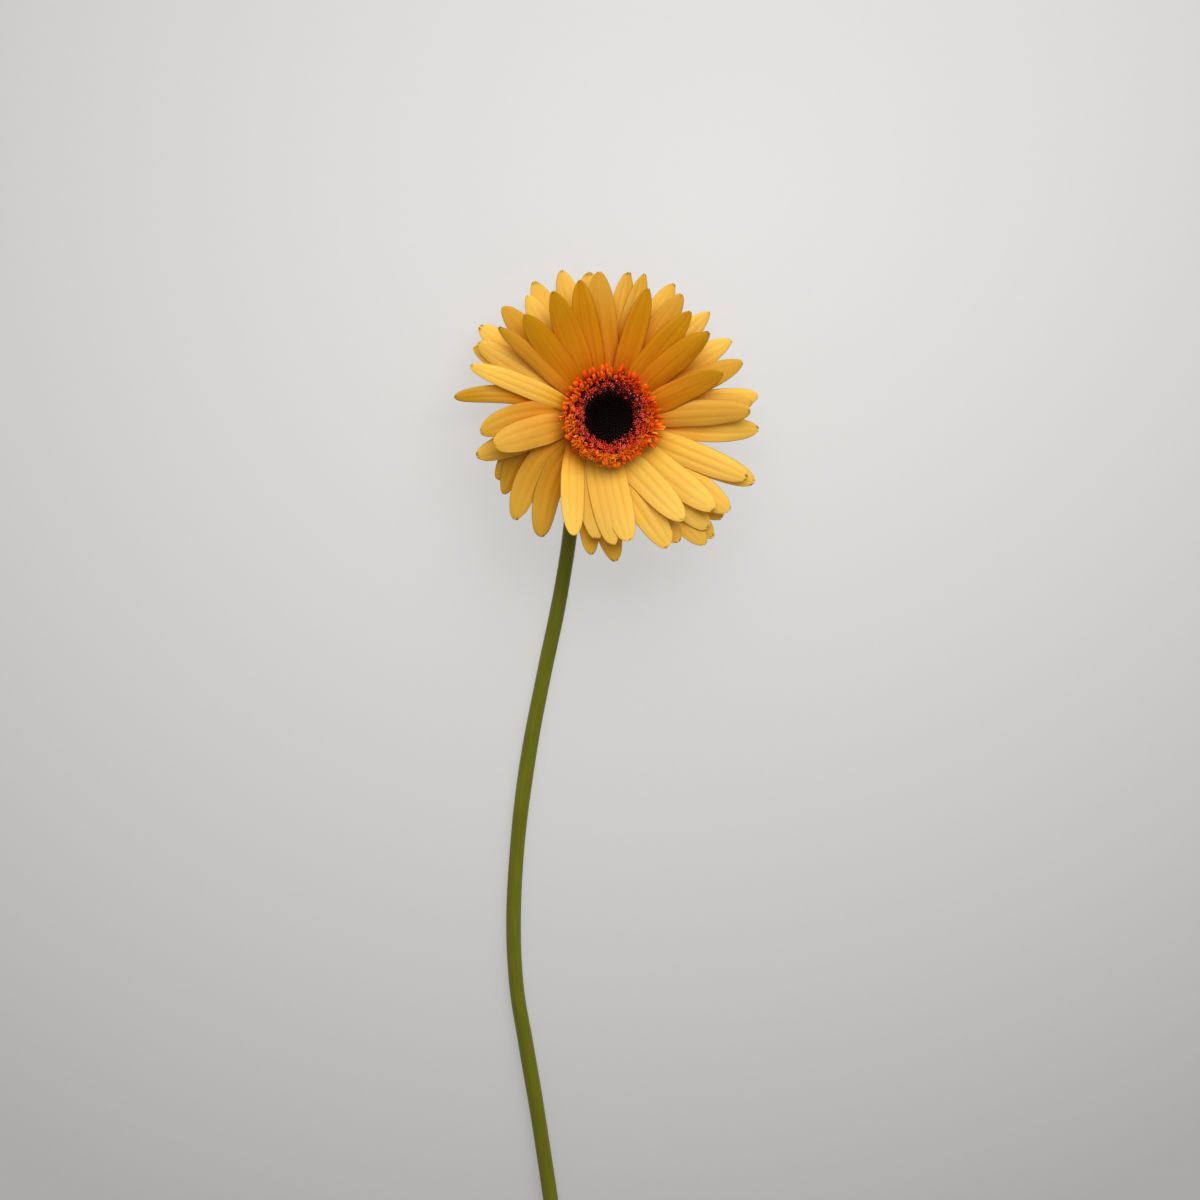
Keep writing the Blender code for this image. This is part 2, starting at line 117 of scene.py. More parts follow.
# a mesh object from points in millimetres and lists of faces. The values on its points are numbers,
# or vectors where their array has a fourth dimension
def makeObject(name, points, faces, material, uv=None, **values):
    mesh = bpy.data.meshes.new(name)
    mesh.from_pydata((points * millimetre).tolist(), [], faces)
    mesh.shade_smooth()
    if uv is not None:
        corners = np.empty(len(mesh.loops), int)
        mesh.loops.foreach_get("vertex_index", corners)
        layer = mesh.uv_layers.new(name="surface")
        layer.data.foreach_set("uv", uv.reshape(-1, 2)[corners].ravel())
    for key, value in values.items():
        kind, field = ("FLOAT_VECTOR", "vector") if value.ndim == 4 else ("FLOAT", "value")
        layer = mesh.attributes.new(key, kind, "POINT")
        layer.data.foreach_set(field, value.ravel().astype(np.float32))
    mesh.materials.append(material)
    made = bpy.data.objects.new(name, mesh)
    bpy.context.scene.collection.objects.link(made)
    return made


# skins stacks of rings, items x rows x around: quads join each ring to the next, a strip of
# quads across each end ring closes it, and the volume's sign turns the faces outwards. The surface
# coordinates and values may be given for fewer points and are repeated
def loft(name, points, material, uv=None, **values):
    grid = points.shape[:3]
    around = grid[2]
    half = around // 2
    number = np.arange(math.prod(grid)).reshape(grid)
    low, high = number[:, :-1], number[:, 1:]
    quads = [np.stack((low, np.roll(low, -1, 2), np.roll(high, -1, 2), high), -1).reshape(-1, 4)]
    j = np.arange(1, half - 1)
    strip = np.stack((j, j + 1, around - j - 1, around - j), -1)
    corner = np.array(((0, 1, around - 1), (half - 1, half, half + 1)))
    triangles = []
    for end, order in ((number[:, 0], -1), (number[:, -1], 1)):
        quads.append(end[:, strip[:, ::order]].reshape(-1, 4))
        triangles.append(end[:, corner[:, ::order]].reshape(-1, 3))
    quads, triangles = np.vstack(quads), np.vstack(triangles)
    flat = points.reshape(-1, 3)
    shifted = flat - flat.mean(0)
    a, b, c, d = (shifted[quads[:, k]] for k in range(4))
    volume = (a * np.cross(b, c)).sum() + (a * np.cross(c, d)).sum()
    if volume < 0:
        quads, triangles = quads[:, ::-1], triangles[:, ::-1]
    if uv is not None:
        uv = np.broadcast_to(uv, (*grid, 2))
    values = {key: np.broadcast_to(value, grid + np.shape(value)[3:]) for key, value in values.items()}
    return makeObject(name, flat, quads.tolist() + triangles.tolist(), material, uv, **values)


# thin three-sided spikes from points along directions
def spikes(name, roots, ways, lengths, width, material):
    side = unit(np.cross(ways, (0.31, 0.17, 0.94)))  # any direction that no spike has would do
    ring = spokes(evenTurns(3), side, np.cross(ways, side))
    tips = (roots + lengths[:, None] * ways)[:, None]
    points = np.concatenate((roots[:, None] + width / 2 * ring, tips), 1)
    points[..., 2] = np.maximum(points[..., 2], hairClear)
    first = 4 * np.arange(len(roots))[:, None]
    faces = np.vstack([first + order for order in ((0, 1, 3), (1, 2, 3), (2, 0, 3), (2, 1, 0))])
    return makeObject(name, points.reshape(-1, 3), faces.tolist(), material)


# rides the body and stands for its node, which it hides
def fitPiece(piece, node):
    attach(piece, "root")
    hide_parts(node)
    print("made", piece.name, len(piece.data.polygons), "faces")


# directions sideways and upright to each point of a line, turned by twist round the line
def lineFrames(line, sideHint, twist):
    along = unit(np.gradient(line, axis=-2))
    side = unit(sideHint - (sideHint * along).sum(-1, keepdims=True) * along)
    upright = np.cross(side, along)
    twist = np.broadcast_to(twist, line.shape[:-1])[..., None]
    return (np.cos(twist) * side - np.sin(twist) * upright,
            np.sin(twist) * side + np.cos(twist) * upright)


# places across a blade: -1 to 1 on its upper face and back on its lower one, closer at the edges
def bladeStations(columns):
    even = np.linspace(-1, 1, columns + 1)
    across = 0.6 * even + 0.4 * np.sin(even * math.pi / 2)
    face = np.concatenate((np.ones(columns + 1), -np.ones(columns - 1)))
    return np.concatenate((across, across[-2:0:-1])), face


# a blade: line + half width * (across * side + crown * upright), and half the thickness to each
# face, less towards the edges
def bladePoints(line, side, upright, half, crown, thickness, across, face):
    half = half[..., None, None]
    middle = line[..., None, :] + half * (across[:, None] * side[..., None, :]
                                          + crown[..., None] * upright[..., None, :])
    rise = face * thickness / 2 * (1 - across**4)
    return middle + rise[:, None] * upright[..., None, :]


# surface coordinates on a grid: the share across it and the share along it
def gridPlaces(across, along):
    return np.stack(np.broadcast_arrays(across, along[:, None]), -1)


# a body turned round the bloom's axis from a list of radii and heights
def turnedPoints(profile, segments):
    radius, height = np.array(profile, float).T
    return bloomPoint(radius[:, None], evenTurns(segments), height[:, None])[None]


# small turned bodies on leaning axes: foot + up * height + radius * (1 + lobes * cos(5 turn)). Each
# row of their form gives the share of the height, radius, lobes, step at the lobes and light
def turnedMany(form, foot, up, tall, size, sides, phase):
    share, radius, lobes, steps = np.array(form).T[:4]
    around = evenTurns(sides)
    wave = np.cos(5 * around)
    side = unit(np.cross(up, (0.9, 0.1, 0.3)))
    spoke = spokes(around + phase[:, None], side, np.cross(up, side))
    radius = (radius * size[:, None])[..., None] * (1 + lobes[:, None] * wave)
    level = (share * tall[:, None])[..., None] + steps[:, None] * wave
    return foot[:, None, None] + level[..., None] * up[:, None, None] + radius[..., None] * spoke[:, None]


def linearColour(red, green, blue):  # from 0-255 steps
    value = np.array((red, green, blue)) / 255
    linear = np.where(value <= 0.04045, value / 12.92, ((value + 0.055) / 1.055) ** 2.4)
    return (*linear.tolist(), 1.0)


# a shader node with its settings and its inputs, which are numbers or other nodes' outputs
def addNode(tree, kind, inputs=None, **settings):
    made = tree.nodes.new("ShaderNode" + kind)
    for key, value in settings.items():
        setattr(made, key, value)
    for key, value in (inputs or {}).items():
        if isinstance(value, bpy.types.NodeSocket):
            tree.links.new(value, made.inputs[key])
        else:
            made.inputs[key].default_value = value
    return made


def startMaterial(name, **sockets):
    made = bpy.data.materials.new(name)
    made.use_nodes = True
    for key, value in sockets.items():
        made.node_tree.nodes["Principled BSDF"].inputs[key].default_value = value
    return made, made.node_tree


def mathNode(tree, operation, first, second=0.0, third=0.0):
    return addNode(tree, "Math", {0: first, 1: second, 2: third}, operation=operation).outputs[0]


# base + amount * (pattern - 0.5)
def varied(tree, base, pattern, amount):
    return mathNode(tree, "MULTIPLY_ADD", mathNode(tree, "ADD", pattern, -0.5), amount, base)


# from one colour to another, each an output or (red, green, blue) in 0-255 steps
def blendColours(tree, share, first, second):
    inputs = {0: share, 6: first, 7: second}
    for key in (6, 7):
        if isinstance(inputs[key], tuple):
            inputs[key] = linearColour(*inputs[key])
    return addNode(tree, "Mix", inputs, data_type="RGBA").outputs[2]


def rangeNode(tree, value, start, end, low=0.0, high=1.0):
    inputs = {0: value, 1: start, 2: end, 3: low, 4: high}
    return addNode(tree, "MapRange", inputs, interpolation_type="SMOOTHSTEP").outputs[0]


# colours along a scale, as (place, (red, green, blue)) in 0-255 steps
def colourScale(tree, value, stops):
    made = addNode(tree, "ValToRGB", {0: value})
    elements = made.color_ramp.elements
    elements[0].position, elements[1].position = stops[0][0], stops[-1][0]
    elements[0].color, elements[1].color = linearColour(*stops[0][1]), linearColour(*stops[-1][1])
    for place, shade in stops[1:-1]:
        elements.new(place).color = linearColour(*shade)
    return made.outputs[0]


def noiseNode(tree, vector, scale, detail=2.0, roughness=0.5):
    inputs = {"Vector": vector, "Scale": scale, "Detail": detail, "Roughness": roughness}
    return addNode(tree, "TexNoise", inputs).outputs[0]


def grainNode(tree, scale, detail=2.0):
    return noiseNode(tree, addNode(tree, "TexCoord").outputs["Object"], scale, detail)


def attributeNode(tree, name, output="Fac"):
    return addNode(tree, "Attribute", attribute_name=name).outputs[output]


# the shares across and along a surface
def surfaceShares(tree):
    split = addNode(tree, "SeparateXYZ", {0: addNode(tree, "UVMap", uv_map="surface").outputs[0]})
    return split.outputs[0], split.outputs[1]


# noise on a blade, from its shares and its tone, each times a scale
def bladeNoise(tree, shares, tone, scales, detail=2.0, scale=1.0):
    moved = [mathNode(tree, "MULTIPLY", value, times) for value, times in zip((*shares, tone), scales)]
    return noiseNode(tree, addNode(tree, "CombineXYZ", dict(enumerate(moved))).outputs[0], scale, detail)


# links the colour and, where they are given, a roughness between two values that goes with a
# pattern, a bump of the pattern as strength and depth in metres, and a share of light let through
def finishMaterial(made, colour, pattern=None, rough=None, bump=None, through=0.0):
    tree = made.node_tree
    shader = tree.nodes["Principled BSDF"]
    tree.links.new(colour, shader.inputs["Base Color"])
    if rough:
        tree.links.new(rangeNode(tree, pattern, 0.3, 0.7, *rough), shader.inputs["Roughness"])
    if bump:
        inputs = {"Height": pattern, "Strength": bump[0], "Distance": bump[1]}
        tree.links.new(addNode(tree, "Bump", inputs).outputs[0], shader.inputs["Normal"])
    if through:
        glow = addNode(tree, "BsdfTranslucent", {"Color": colour})
        mixed = addNode(tree, "MixShader", {0: through, 1: shader.outputs[0], 2: glow.outputs[0]})
        tree.links.new(mixed.outputs[0], tree.nodes["Material Output"].inputs["Surface"])
    return made


# stem

stem = {
    "sides": 44,
    "step": 1.1,
    "topRadius": 3.0,
    "ribs": 10,
    "ribDepth": 0.045,
    "ribWander": (0.5, 47.0),  # radians, and millimetres of stem to a radian of the wave
    "waves": ((0.05, 23.0, 0.0), (0.04, 9.1, 1.0)),  # of the radius: height, millimetres to a radian, start
    "course": ((16.0, -322.0), (11.4, -302.0), (6.0, -279.0), (0.0, -255.0), (-5.5, -232.0),
               (-9.0, -205.0), (-10.2, -172.0), (-9.2, -140.0), (-6.6, -110.0), (-3.9, -84.0),
               (-2.4, -60.0), (-2.2, -40.0)),  # from under the bloom's centre
    "neckSteps": 22,
    "intoCup": 1.4,
    # the cut end: share of the radius and how far it is sunk
    "cutFace": ((0.02, 0.5), (0.3, 0.45), (0.55, 0.3), (0.72, 0.1), (0.9, 0.02), (0.965, 0.0),
                (0.99, -0.04)),
    "hairs": 5200,
    "hairLength": (0.35, 0.9),
    "hairWidth": 0.05,
    "hairSpread": 0.35,
    "hairLean": 0.25,  # away from the bloom
    "hairSunk": 0.06,
    "seed": 5,
    "green": ((0.2, (88, 90, 6)), (0.5, (102, 104, 8)), (0.8, (116, 119, 16))),
    "streaks": ((3.2, 3.2, 0.035), 1.6, 4.0, 0.6),  # scales round and along, then the noise's settings
    "patches": ((0.5, 0.5, 0.05), 1.3),
    "cutColours": ((0.0, (196, 204, 150)), (0.62, (150, 170, 90)), (0.86, (94, 112, 34)),
                   (1.0, (84, 92, 20))),
    "pithColour": (120, 128, 60),
    "sheenColour": (214, 220, 120),
    "hairColour": (176, 184, 110),
    "finish": {"rough": (0.42, 0.6), "bump": (0.35, 0.0002)},
}


# a smooth curve through the points: cubic pieces whose slopes are half the step between neighbours
def smoothCourse(points, step):
    points = np.array(points, float)
    before = np.vstack((2 * points[0] - points[1], points[:-1]))
    after = np.vstack((points[1:], 2 * points[-1] - points[-2]))
    slope = (after - before) / 2
    course = []
    for k in range(len(points) - 1):
        pieces = max(1, round(np.linalg.norm(points[k + 1] - points[k]) / step))
        t = (np.arange(pieces) / pieces)[:, None]
        course.append((2 * t**3 - 3 * t**2 + 1) * points[k] + (t**3 - 2 * t**2 + t) * slope[k]
                      + (3 * t**2 - 2 * t**3) * points[k + 1] + (t**3 - t**2) * slope[k + 1])
    return np.vstack((*course, points[-1:]))


def stemMaterial():
    made, tree = startMaterial("stemGreen", **{
        "Specular IOR Level": 0.2, "Sheen Weight": 0.12, "Sheen Roughness": 0.4,
        "Sheen Tint": linearColour(*stem["sheenColour"])})
    lengthwise = attributeNode(tree, "lengthwise", "Vector")

    def drawnOut(scale, *noise):
        place = addNode(tree, "Mapping", {"Vector": lengthwise, "Scale": scale}).outputs[0]
        return noiseNode(tree, place, *noise)

    streaks, patches = drawnOut(*stem["streaks"]), drawnOut(*stem["patches"])
    mottle = mathNode(tree, "MULTIPLY_ADD", streaks, 0.6, mathNode(tree, "MULTIPLY", patches, 0.4))
    green = colourScale(tree, mottle, stem["green"])
    cut = attributeNode(tree, "cut")
    pith = mathNode(tree, "MULTIPLY", grainNode(tree, 2600.0), 0.35)
    face = blendColours(tree, pith, colourScale(tree, cut, stem["cutColours"]), stem["pithColour"])
    onEnd = rangeNode(tree, cut, 1.02, 1.04, 1.0, 0.0)
    return finishMaterial(made, blendColours(tree, onEnd, green, face), streaks, **stem["finish"])


def hairMaterial(name, shade):
    made, tree = startMaterial(name, Roughness=0.6)
    tint = blendColours(tree, grainNode(tree, 700.0, 1.0), shade, tuple(0.8 * value for value in shade))
    return finishMaterial(made, tint, through=0.4)


# rings of radius r(1 + ribs) round the stem's course, flat where it lies, with its cut end dished
def makeStem():
    top = centre + bloom["stemTop"] * axis
    neckStart = top - neckSpan
    x, y = bloom["place"]
    course = [(px + x, py + y, restHeight) for px, py in stem["course"]]
    lying = smoothCourse([*course, neckStart], stem["step"])[:-1]
    turn = np.linspace(0, neckTurn, stem["neckSteps"] + 1)[:, None]
    neck = neckStart + bloom["neckRadius"] * (np.sin(turn) * headingWay + (1 - np.cos(turn)) * neckUp)
    middle = np.vstack((lying, neck, top + stem["intoCup"] * axis))
    along = unit(np.gradient(middle, axis=0))
    side = unit(np.cross(along, (0, 0, 1)))
    radius = np.full(len(middle), bloom["stemRadius"])
    radius[len(lying):-1] = np.linspace(bloom["stemRadius"], stem["topRadius"], len(neck))
    radius[-1] = stem["topRadius"]
    around = evenTurns(stem["sides"])
    travel = np.concatenate(((0,), np.cumsum(np.linalg.norm(np.diff(middle, axis=0), axis=1))))
    swing, pace = stem["ribWander"]
    wander = swing * np.sin(travel / pace)
    ribs = stem["ribDepth"] * np.cos(stem["ribs"] * (around + wander[:, None]))
    uneven = sum(high * np.sin(travel / pace + start) for high, pace, start in stem["waves"])
    ring = spokes(around, side, np.cross(side, along))
    tube = middle[:, None] + (radius[:, None] + uneven[:, None] + ribs)[..., None] * ring
    shares, depths = np.array(stem["cutFace"]).T
    face = middle[0] + shares[:, None, None] * (tube[0] - middle[0]) + depths[:, None, None] * along[0]
    points = np.vstack((face, tube))
    points[..., 2] = np.maximum(points[..., 2], 0.0)
    cut = np.concatenate((shares, np.full(len(tube), 1.1)))[:, None]  # over 1 behind the cut end
    distance = np.concatenate((np.zeros(len(shares)), travel))[:, None]
    lengthwise = np.stack(np.broadcast_arrays(np.cos(around), np.sin(around), distance), -1)
    piece = loft("stemGreen", points[None], stemMaterial(), cut=cut, lengthwise=lengthwise[None])
    fitPiece(piece, "stem")

    draw = np.random.default_rng(stem["seed"])
    rowPick = draw.integers(1, len(tube) - 2, stem["hairs"])
    aroundPick = draw.integers(0, stem["sides"], stem["hairs"])
    between = draw.uniform(0, 1, (stem["hairs"], 1))
    roots = (1 - between) * tube[rowPick, aroundPick] + between * tube[rowPick + 1, aroundPick]
    outward = ring[rowPick, aroundPick]
    spread = draw.normal(0, stem["hairSpread"], outward.shape)
    ways = unit(outward + spread - stem["hairLean"] * along[rowPick])
    free = roots[:, 2] + 0.6 * ways[:, 2] > 0.25  # none where the stem lies on the surface
    lengths = draw.uniform(*stem["hairLength"], stem["hairs"])
    roots = roots - stem["hairSunk"] * outward
    material = hairMaterial("stemHair", stem["hairColour"])
    piece = spikes("stemHairs", roots[free], ways[free], lengths[free], stem["hairWidth"], material)
    fitPiece(piece, "stem")


# involucre

involucre = {
    "profile": ((2.6, -13.9), (3.5, -13.7), (5.0, -12.9), (7.0, -11.6), (9.0, -10.0), (10.6, -8.4),
                (11.8, -7.0), (12.6, -5.6), (12.9, -4.4), (12.8, -3.3), (12.2, -2.9)),  # radius, height
    "segments": 72,
    # count, height of the root and of the tip, how far the tip stands off the cup, width
    "rows": ((10, -13.4, -9.6, 0.7, 2.8), (12, -12.6, -8.0, 0.9, 3.1), (14, -11.4, -6.8, 1.1, 3.2),
             (16, -10.0, -5.6, 1.3, 3.2), (18, -8.6, -4.4, 1.6, 3.1), (20, -7.2, -3.4, 1.8, 2.9)),
    "length": 14,  # rows of faces along a bract
    "columns": 8,
    "thickness": 0.32,
    "clearance": 0.12,  # between the cup and a bract's middle
    "crown": -0.28,
    "rootWidth": 0.55,  # shares of the full width
    "tipWidth": 0.05,
    "fullWidthAt": 0.35,
    "tipPowers": (1.8, 0.85),
    "hairs": 5200,
    "hairLength": (0.3, 0.8),
    "hairWidth": 0.045,
    "hairSpread": 0.4,
    "hairRise": 0.35,
    "seed": 7,
    "veins": (14.0, 1.4, 40.0),  # scales of the noise across, along and with the tone
    "green": ((0.0, (58, 82, 20)), (0.5, (92, 120, 40)), (0.85, (116, 138, 62)), (1.0, (104, 66, 56))),
    "middleColour": (54, 70, 18),
    "hairColour": (186, 192, 140),
    "finish": {"rough": (0.5, 0.7), "bump": (0.4, 0.0002), "through": 0.12},
}


def bractMaterial():
    made, tree = startMaterial("bractGreen", Roughness=0.6, **{"Sheen Weight": 0.3})
    across, along = surfaceShares(tree)
    veins = bladeNoise(tree, (across, along), attributeNode(tree, "tone"), involucre["veins"])
    wander = mathNode(tree, "MULTIPLY_ADD", veins, 0.25, mathNode(tree, "ADD", along, -0.12))
    green = colourScale(tree, wander, involucre["green"])
    aside = mathNode(tree, "ABSOLUTE", mathNode(tree, "ADD", across, -0.5))
    middle = rangeNode(tree, aside, 0.0, 0.16, 0.35, 0.0)
    green = blendColours(tree, middle, green, involucre["middleColour"])
    return finishMaterial(made, green, veins, **involucre["finish"])


# bracts lie along the cup's profile and leave it as the square of the way along; each is a lance
# outline, broad at a third of its length and pointed
def makeInvolucre():
    radii, heights = np.array(involucre["profile"], float).T
    material = bractMaterial()
    cup = turnedPoints(involucre["profile"], involucre["segments"])
    mottled = 0.25 * np.cos(np.linspace(0, 1, involucre["segments"]) * 60) + 0.5
    place = gridPlaces(mottled, np.linspace(0, 0.7, len(radii)))
    fitPiece(loft("involucreCup", cup, material, uv=place, tone=0.5), "involucre")

    draw = np.random.default_rng(involucre["seed"])
    along = np.linspace(0, 1, involucre["length"] + 1)
    across, face = bladeStations(involucre["columns"])
    rootWidth, tipWidth, fullAt = (involucre[key] for key in ("rootWidth", "tipWidth", "fullWidthAt"))
    inner, outer = involucre["tipPowers"]
    opened = rootWidth + (1 - rootWidth) * easeIn(along, 0, fullAt)
    closing = (1 - np.clip((along - fullAt) / (1 - fullAt), 0, 1) ** inner) ** outer
    closing = tipWidth + (1 - tipWidth) * closing
    allPoints, allTones = [], []
    for row, (count, root, tip, standOff, width) in enumerate(involucre["rows"]):
        turn = (np.arange(count) + row / 2 + draw.uniform(-0.15, 0.15, count)) * 2 * math.pi / count
        tipHeight = tip + draw.uniform(-0.5, 0.4, (count, 1))
        height = root + along * (tipHeight - root)
        leave = along**2 * standOff * draw.uniform(0.7, 1.3, (count, 1))
        # they follow the cup up to where it closes
        radius = np.interp(height, heights[:-2], radii[:-2]) + involucre["clearance"] + leave
        line = bloomPoint(radius, turn[:, None], height)
        side = bloomWay(1.0, turn + math.pi / 2, 0.0)[:, None]
        side, upright = lineFrames(line, -side, draw.uniform(-0.12, 0.12, (count, 1)))
        allPoints.append(bladePoints(line, side, upright, width / 2 * opened * closing,
                                     involucre["crown"] * across**2, involucre["thickness"], across, face))
        allTones.append(draw.uniform(0, 1, (count, 1, 1)))
    points, tones = np.concatenate(allPoints), np.concatenate(allTones)
    place = gridPlaces((across + 1) / 2, along)
    piece = loft("involucreBracts", points, material, uv=place, tone=tones)
    fitPiece(piece, "involucre")

    hairs = involucre["hairs"]
    pick = (draw.integers(0, len(points), hairs), draw.integers(2, len(along), hairs),
            draw.integers(0, involucre["columns"] + 1, hairs))
    roots = points[pick] + draw.normal(0, 0.08, (hairs, 3))
    spoke = roots - centre
    spoke = unit(spoke - (spoke @ axis)[:, None] * axis)
    spread = draw.normal(0, involucre["hairSpread"], roots.shape)
    ways = unit(spoke + involucre["hairRise"] * axis + spread)
    lengths = draw.uniform(*involucre["hairLength"], hairs)
    material = hairMaterial("bractHair", involucre["hairColour"])
    piece = spikes("involucreHairs", roots, ways, lengths, involucre["hairWidth"], material)
    fitPiece(piece, "involucre")


# ray florets

down = math.nan  # in place of a lift: the tip comes down to the surface
rays = {
    "rows": 46,
    "columns": 22,
    "thickness": 0.36,
    "rootRadius": 9.0,
    "spreadPoint": (-4.5, 0.0),  # the petals' lines meet here, seen from the front
    "press": 0.8,
    "rootShare": 0.66,
    "fullWidthAt": 0.42,
    "tipStartsAt": 0.56,
    "tipShare": 0.1,
    "tipPowers": (2.2, 0.42, 0.72),  # of the way to the tip, then of the width for a blunt and a sharp tip
    "widen": 0.1,  # the lower petals are this much wider
    "droop": 0.12,
    "droopVaries": 0.07,
    "groove": 0.055,
    "grooveVaries": 0.4,
    "grooveAt": 0.33,
    "grooveWidth": 0.11,
    "roll": 7.0,
    "rollVaries": 3.0,
    "bowVaries": 0.4,
    "heave": 0.35,  # how far a petal's line goes up and down
    "tipLift": 0.9,
    "twist": 9.0,  # degrees from the root to the tip
    "ripple": 0.05,
    "notch": 0.55,  # depth of the teeth
    "topClock": 8.0,  # degrees clockwise, the middle of the petals at the top
    "hangsFrom": 5.0,  # this far below the bloom's plane a petal begins to hang
    "seed": 11,
    "finerSeed": 12,
    "bed": ((0.5, -3.0), (12.2, -3.0), (12.8, -2.6), (13.0, -1.8), (13.0, 0.0), (12.6, 0.9), (12.0, 1.2),
            (0.5, 1.2)),
    # level of the roots, how late they bend; each petal's clock angle, reach, lift, width, bow, and how
    # far clockwise its root stands off the line from the spread point
    "frontPetals": (0.4, 1.4, (
        (17, 46.9, 9.0, 8.8, 0.6, 4.4), (38, 46.6, 9.5, 9.6, 0.0, 2.6), (50, 45.9, 11.0, 9.8, 0.0, 3.4),
        (69, 42.9, 10.0, 9.4, 0.0, 4.4), (88, 49.7, 5.0, 9.4, -0.6, 1.0), (114, 53.1, 3.0, 9.2, 0.0, 0.0),
        (131, 49.4, 3.0, 9.6, 0.4, -1.0), (144, 44.8, 4.5, 9.4, 0.0, 2.0), (171, 44.5, 4.0, 9.2, 0.6, -2.6),
        (178, 45.2, 2.0, 8.0, 0.0, 1.6), (196, 43.4, 4.0, 8.2, 0.2, 4.8), (256, 41.3, 5.0, 10.6, 0.3, -0.6),
        (290, 51.5, 3.0, 7.2, 0.7, 0.0), (309, 49.4, 8.5, 5.8, 0.6, 0.4), (320, 46.2, 10.0, 9.6, 0.0, 0.9),
        (336, 47.8, 10.5, 9.6, 0.0, 1.9), (348, 48.7, 8.0, 9.4, 0.0, 3.4))),
    "middlePetals": (-0.6, 1.5, (
        (31, 50.0, 0.5, 10.4, 0.0, 3.0), (68, 50.8, 1.5, 9.6, 0.0, 2.0), (84, 50.8, 1.0, 9.2, 0.0, 1.0),
        (128, 53.6, 0.0, 10.2, 0.0, 0.0), (138, 52.3, -1.0, 9.8, 0.0, 0.0), (155, 50.4, 0.5, 9.8, 0.0, 1.2),
        (185, 43.0, -0.5, 8.6, 1.6, 0.0), (222, 48.8, -8.0, 9.2, 4.8, 0.8), (263, 45.2, 1.0, 10.0, 3.0, 0.0),
        (299, 52.5, 1.0, 9.6, 0.8, 0.0), (316, 53.2, 1.5, 10.2, 0.0, 0.5),
        (356, 50.8, 2.0, 10.4, 0.0, 5.4))),
    "backPetals": (-1.4, 1.9, (
        (8, 51.5, down, 9.4, 0.0, 4.0), (14, 51.8, down, 9.4, 0.8, 4.0), (26, 52.2, down, 10.0, 0.0, 3.0),
        (44, 51.1, -3.0, 10.0, 0.0, 2.5), (58, 50.8, -2.5, 9.6, 0.0, 2.5), (82, 52.9, -2.0, 9.6, 0.0, 1.0),
        (95, 52.9, -1.5, 9.8, 0.6, 0.0), (114, 56.2, -1.5, 9.6, 0.0, 0.0), (132, 53.4, -3.5, 8.6, 0.0, 0.0),
        (139, 56.1, -4.5, 9.6, 0.0, 0.0), (143, 56.4, -3.0, 9.6, 0.0, 0.0), (151, 50.4, -2.5, 9.6, 0.0, 0.0),
        (177, 50.8, -4.0, 9.2, 0.8, 0.0), (187, 48.7, -5.0, 8.0, 0.8, 0.0), (209, 48.3, -9.0, 9.2, 3.6, 0.3),
        (233, 45.5, -11.0, 8.6, 6.4, 3.0), (240, 44.5, -10.0, 8.6, 5.0, 2.6),
        (253, 48.3, -4.0, 9.0, 0.0, 0.0), (277, 54.4, -1.5, 6.6, 3.4, 0.0),
        (297, 53.2, -2.0, 9.4, 0.6, 0.0), (305, 55.0, -2.5, 9.8, 0.0, 0.0),
        (326, 51.1, -3.5, 9.8, 0.0, 0.8), (331, 54.6, down, 10.0, 0.0, 1.2),
        (342, 53.9, down, 10.0, 0.0, 2.2), (352, 51.8, down, 9.8, 0.0, 3.6))),
    "golden": ((0.0, (190, 70, 2)), (0.14, (226, 128, 10)), (0.24, (246, 188, 50)), (0.4, (254, 214, 88)),
               (0.8, (255, 220, 104)), (1.0, (250, 216, 98))),
    # painted shade: the amber colours laid on petals that face away from the light
    "amber": ((0.0, (172, 44, 0)), (0.2, (214, 104, 0)), (0.34, (222, 132, 2)), (0.55, (219, 142, 3)),
              (0.78, (211, 151, 7)), (1.0, (206, 160, 16))),
    # painted shade on petals that hang or lie behind others
    "dull": ((0.0, (166, 56, 0)), (0.2, (188, 112, 4)), (0.4, (196, 138, 8)), (1.0, (208, 158, 24))),
    "sunColour": (236, 164, 22),  # where light falls through an amber petal
    "shadeColour": (202, 112, 0),
    # painted shade in the grooves
    "grooveShadeColour": (232, 150, 24),
    "veinColour": (226, 156, 30),
    "underColour": (240, 208, 112),
    "bruiseColour": (92, 66, 22),
    # painted shade: how far a petal is from golden to amber, by its clock angle, and from golden to dull at
    # the tip
    #  of one behind; a petal that hangs is painted dull along its whole length
    "deepShade": ((0, 1.0), (60, 1.0), (75, 0.95), (88, 0.55), (108, 0.0), (165, 0.0), (177, 0.1),
             (187, 0.2), (196, 0.0), (209, 0.95), (222, 0.6), (240, 0.7), (256, 0.5), (264, 0.85),
             (278, 1.0), (288, 0.05), (300, 0.2), (309, 0.85), (318, 1.0), (360, 1.0)),
    "deepShadeTip": ((0, 0.6), (14, 0.7), (28, 0.4), (44, 0.15), (80, 0.1), (95, 0.35), (114, 0.3),
                (130, 0.45), (150, 0.4), (165, 0.3), (177, 0.75), (190, 0.7), (240, 0.8), (253, 0.5),
                (263, 0.7), (277, 0.95), (288, 0.05), (305, 0.05), (316, 0.25), (326, 0.1),
                (331, 0.45), (342, 0.3), (352, 0.5), (360, 0.6)),
    # scales of the noise across, along and with the tone
    "veins": (70.0, 3.0, 60.0),
    "streaks": (11.0, 1.3, 60.0),
    "specks": (2.4, 1.0, 60.0),
    "finish": {"rough": (0.44, 0.58), "bump": (0.22, 0.00025), "through": 0.45},
}


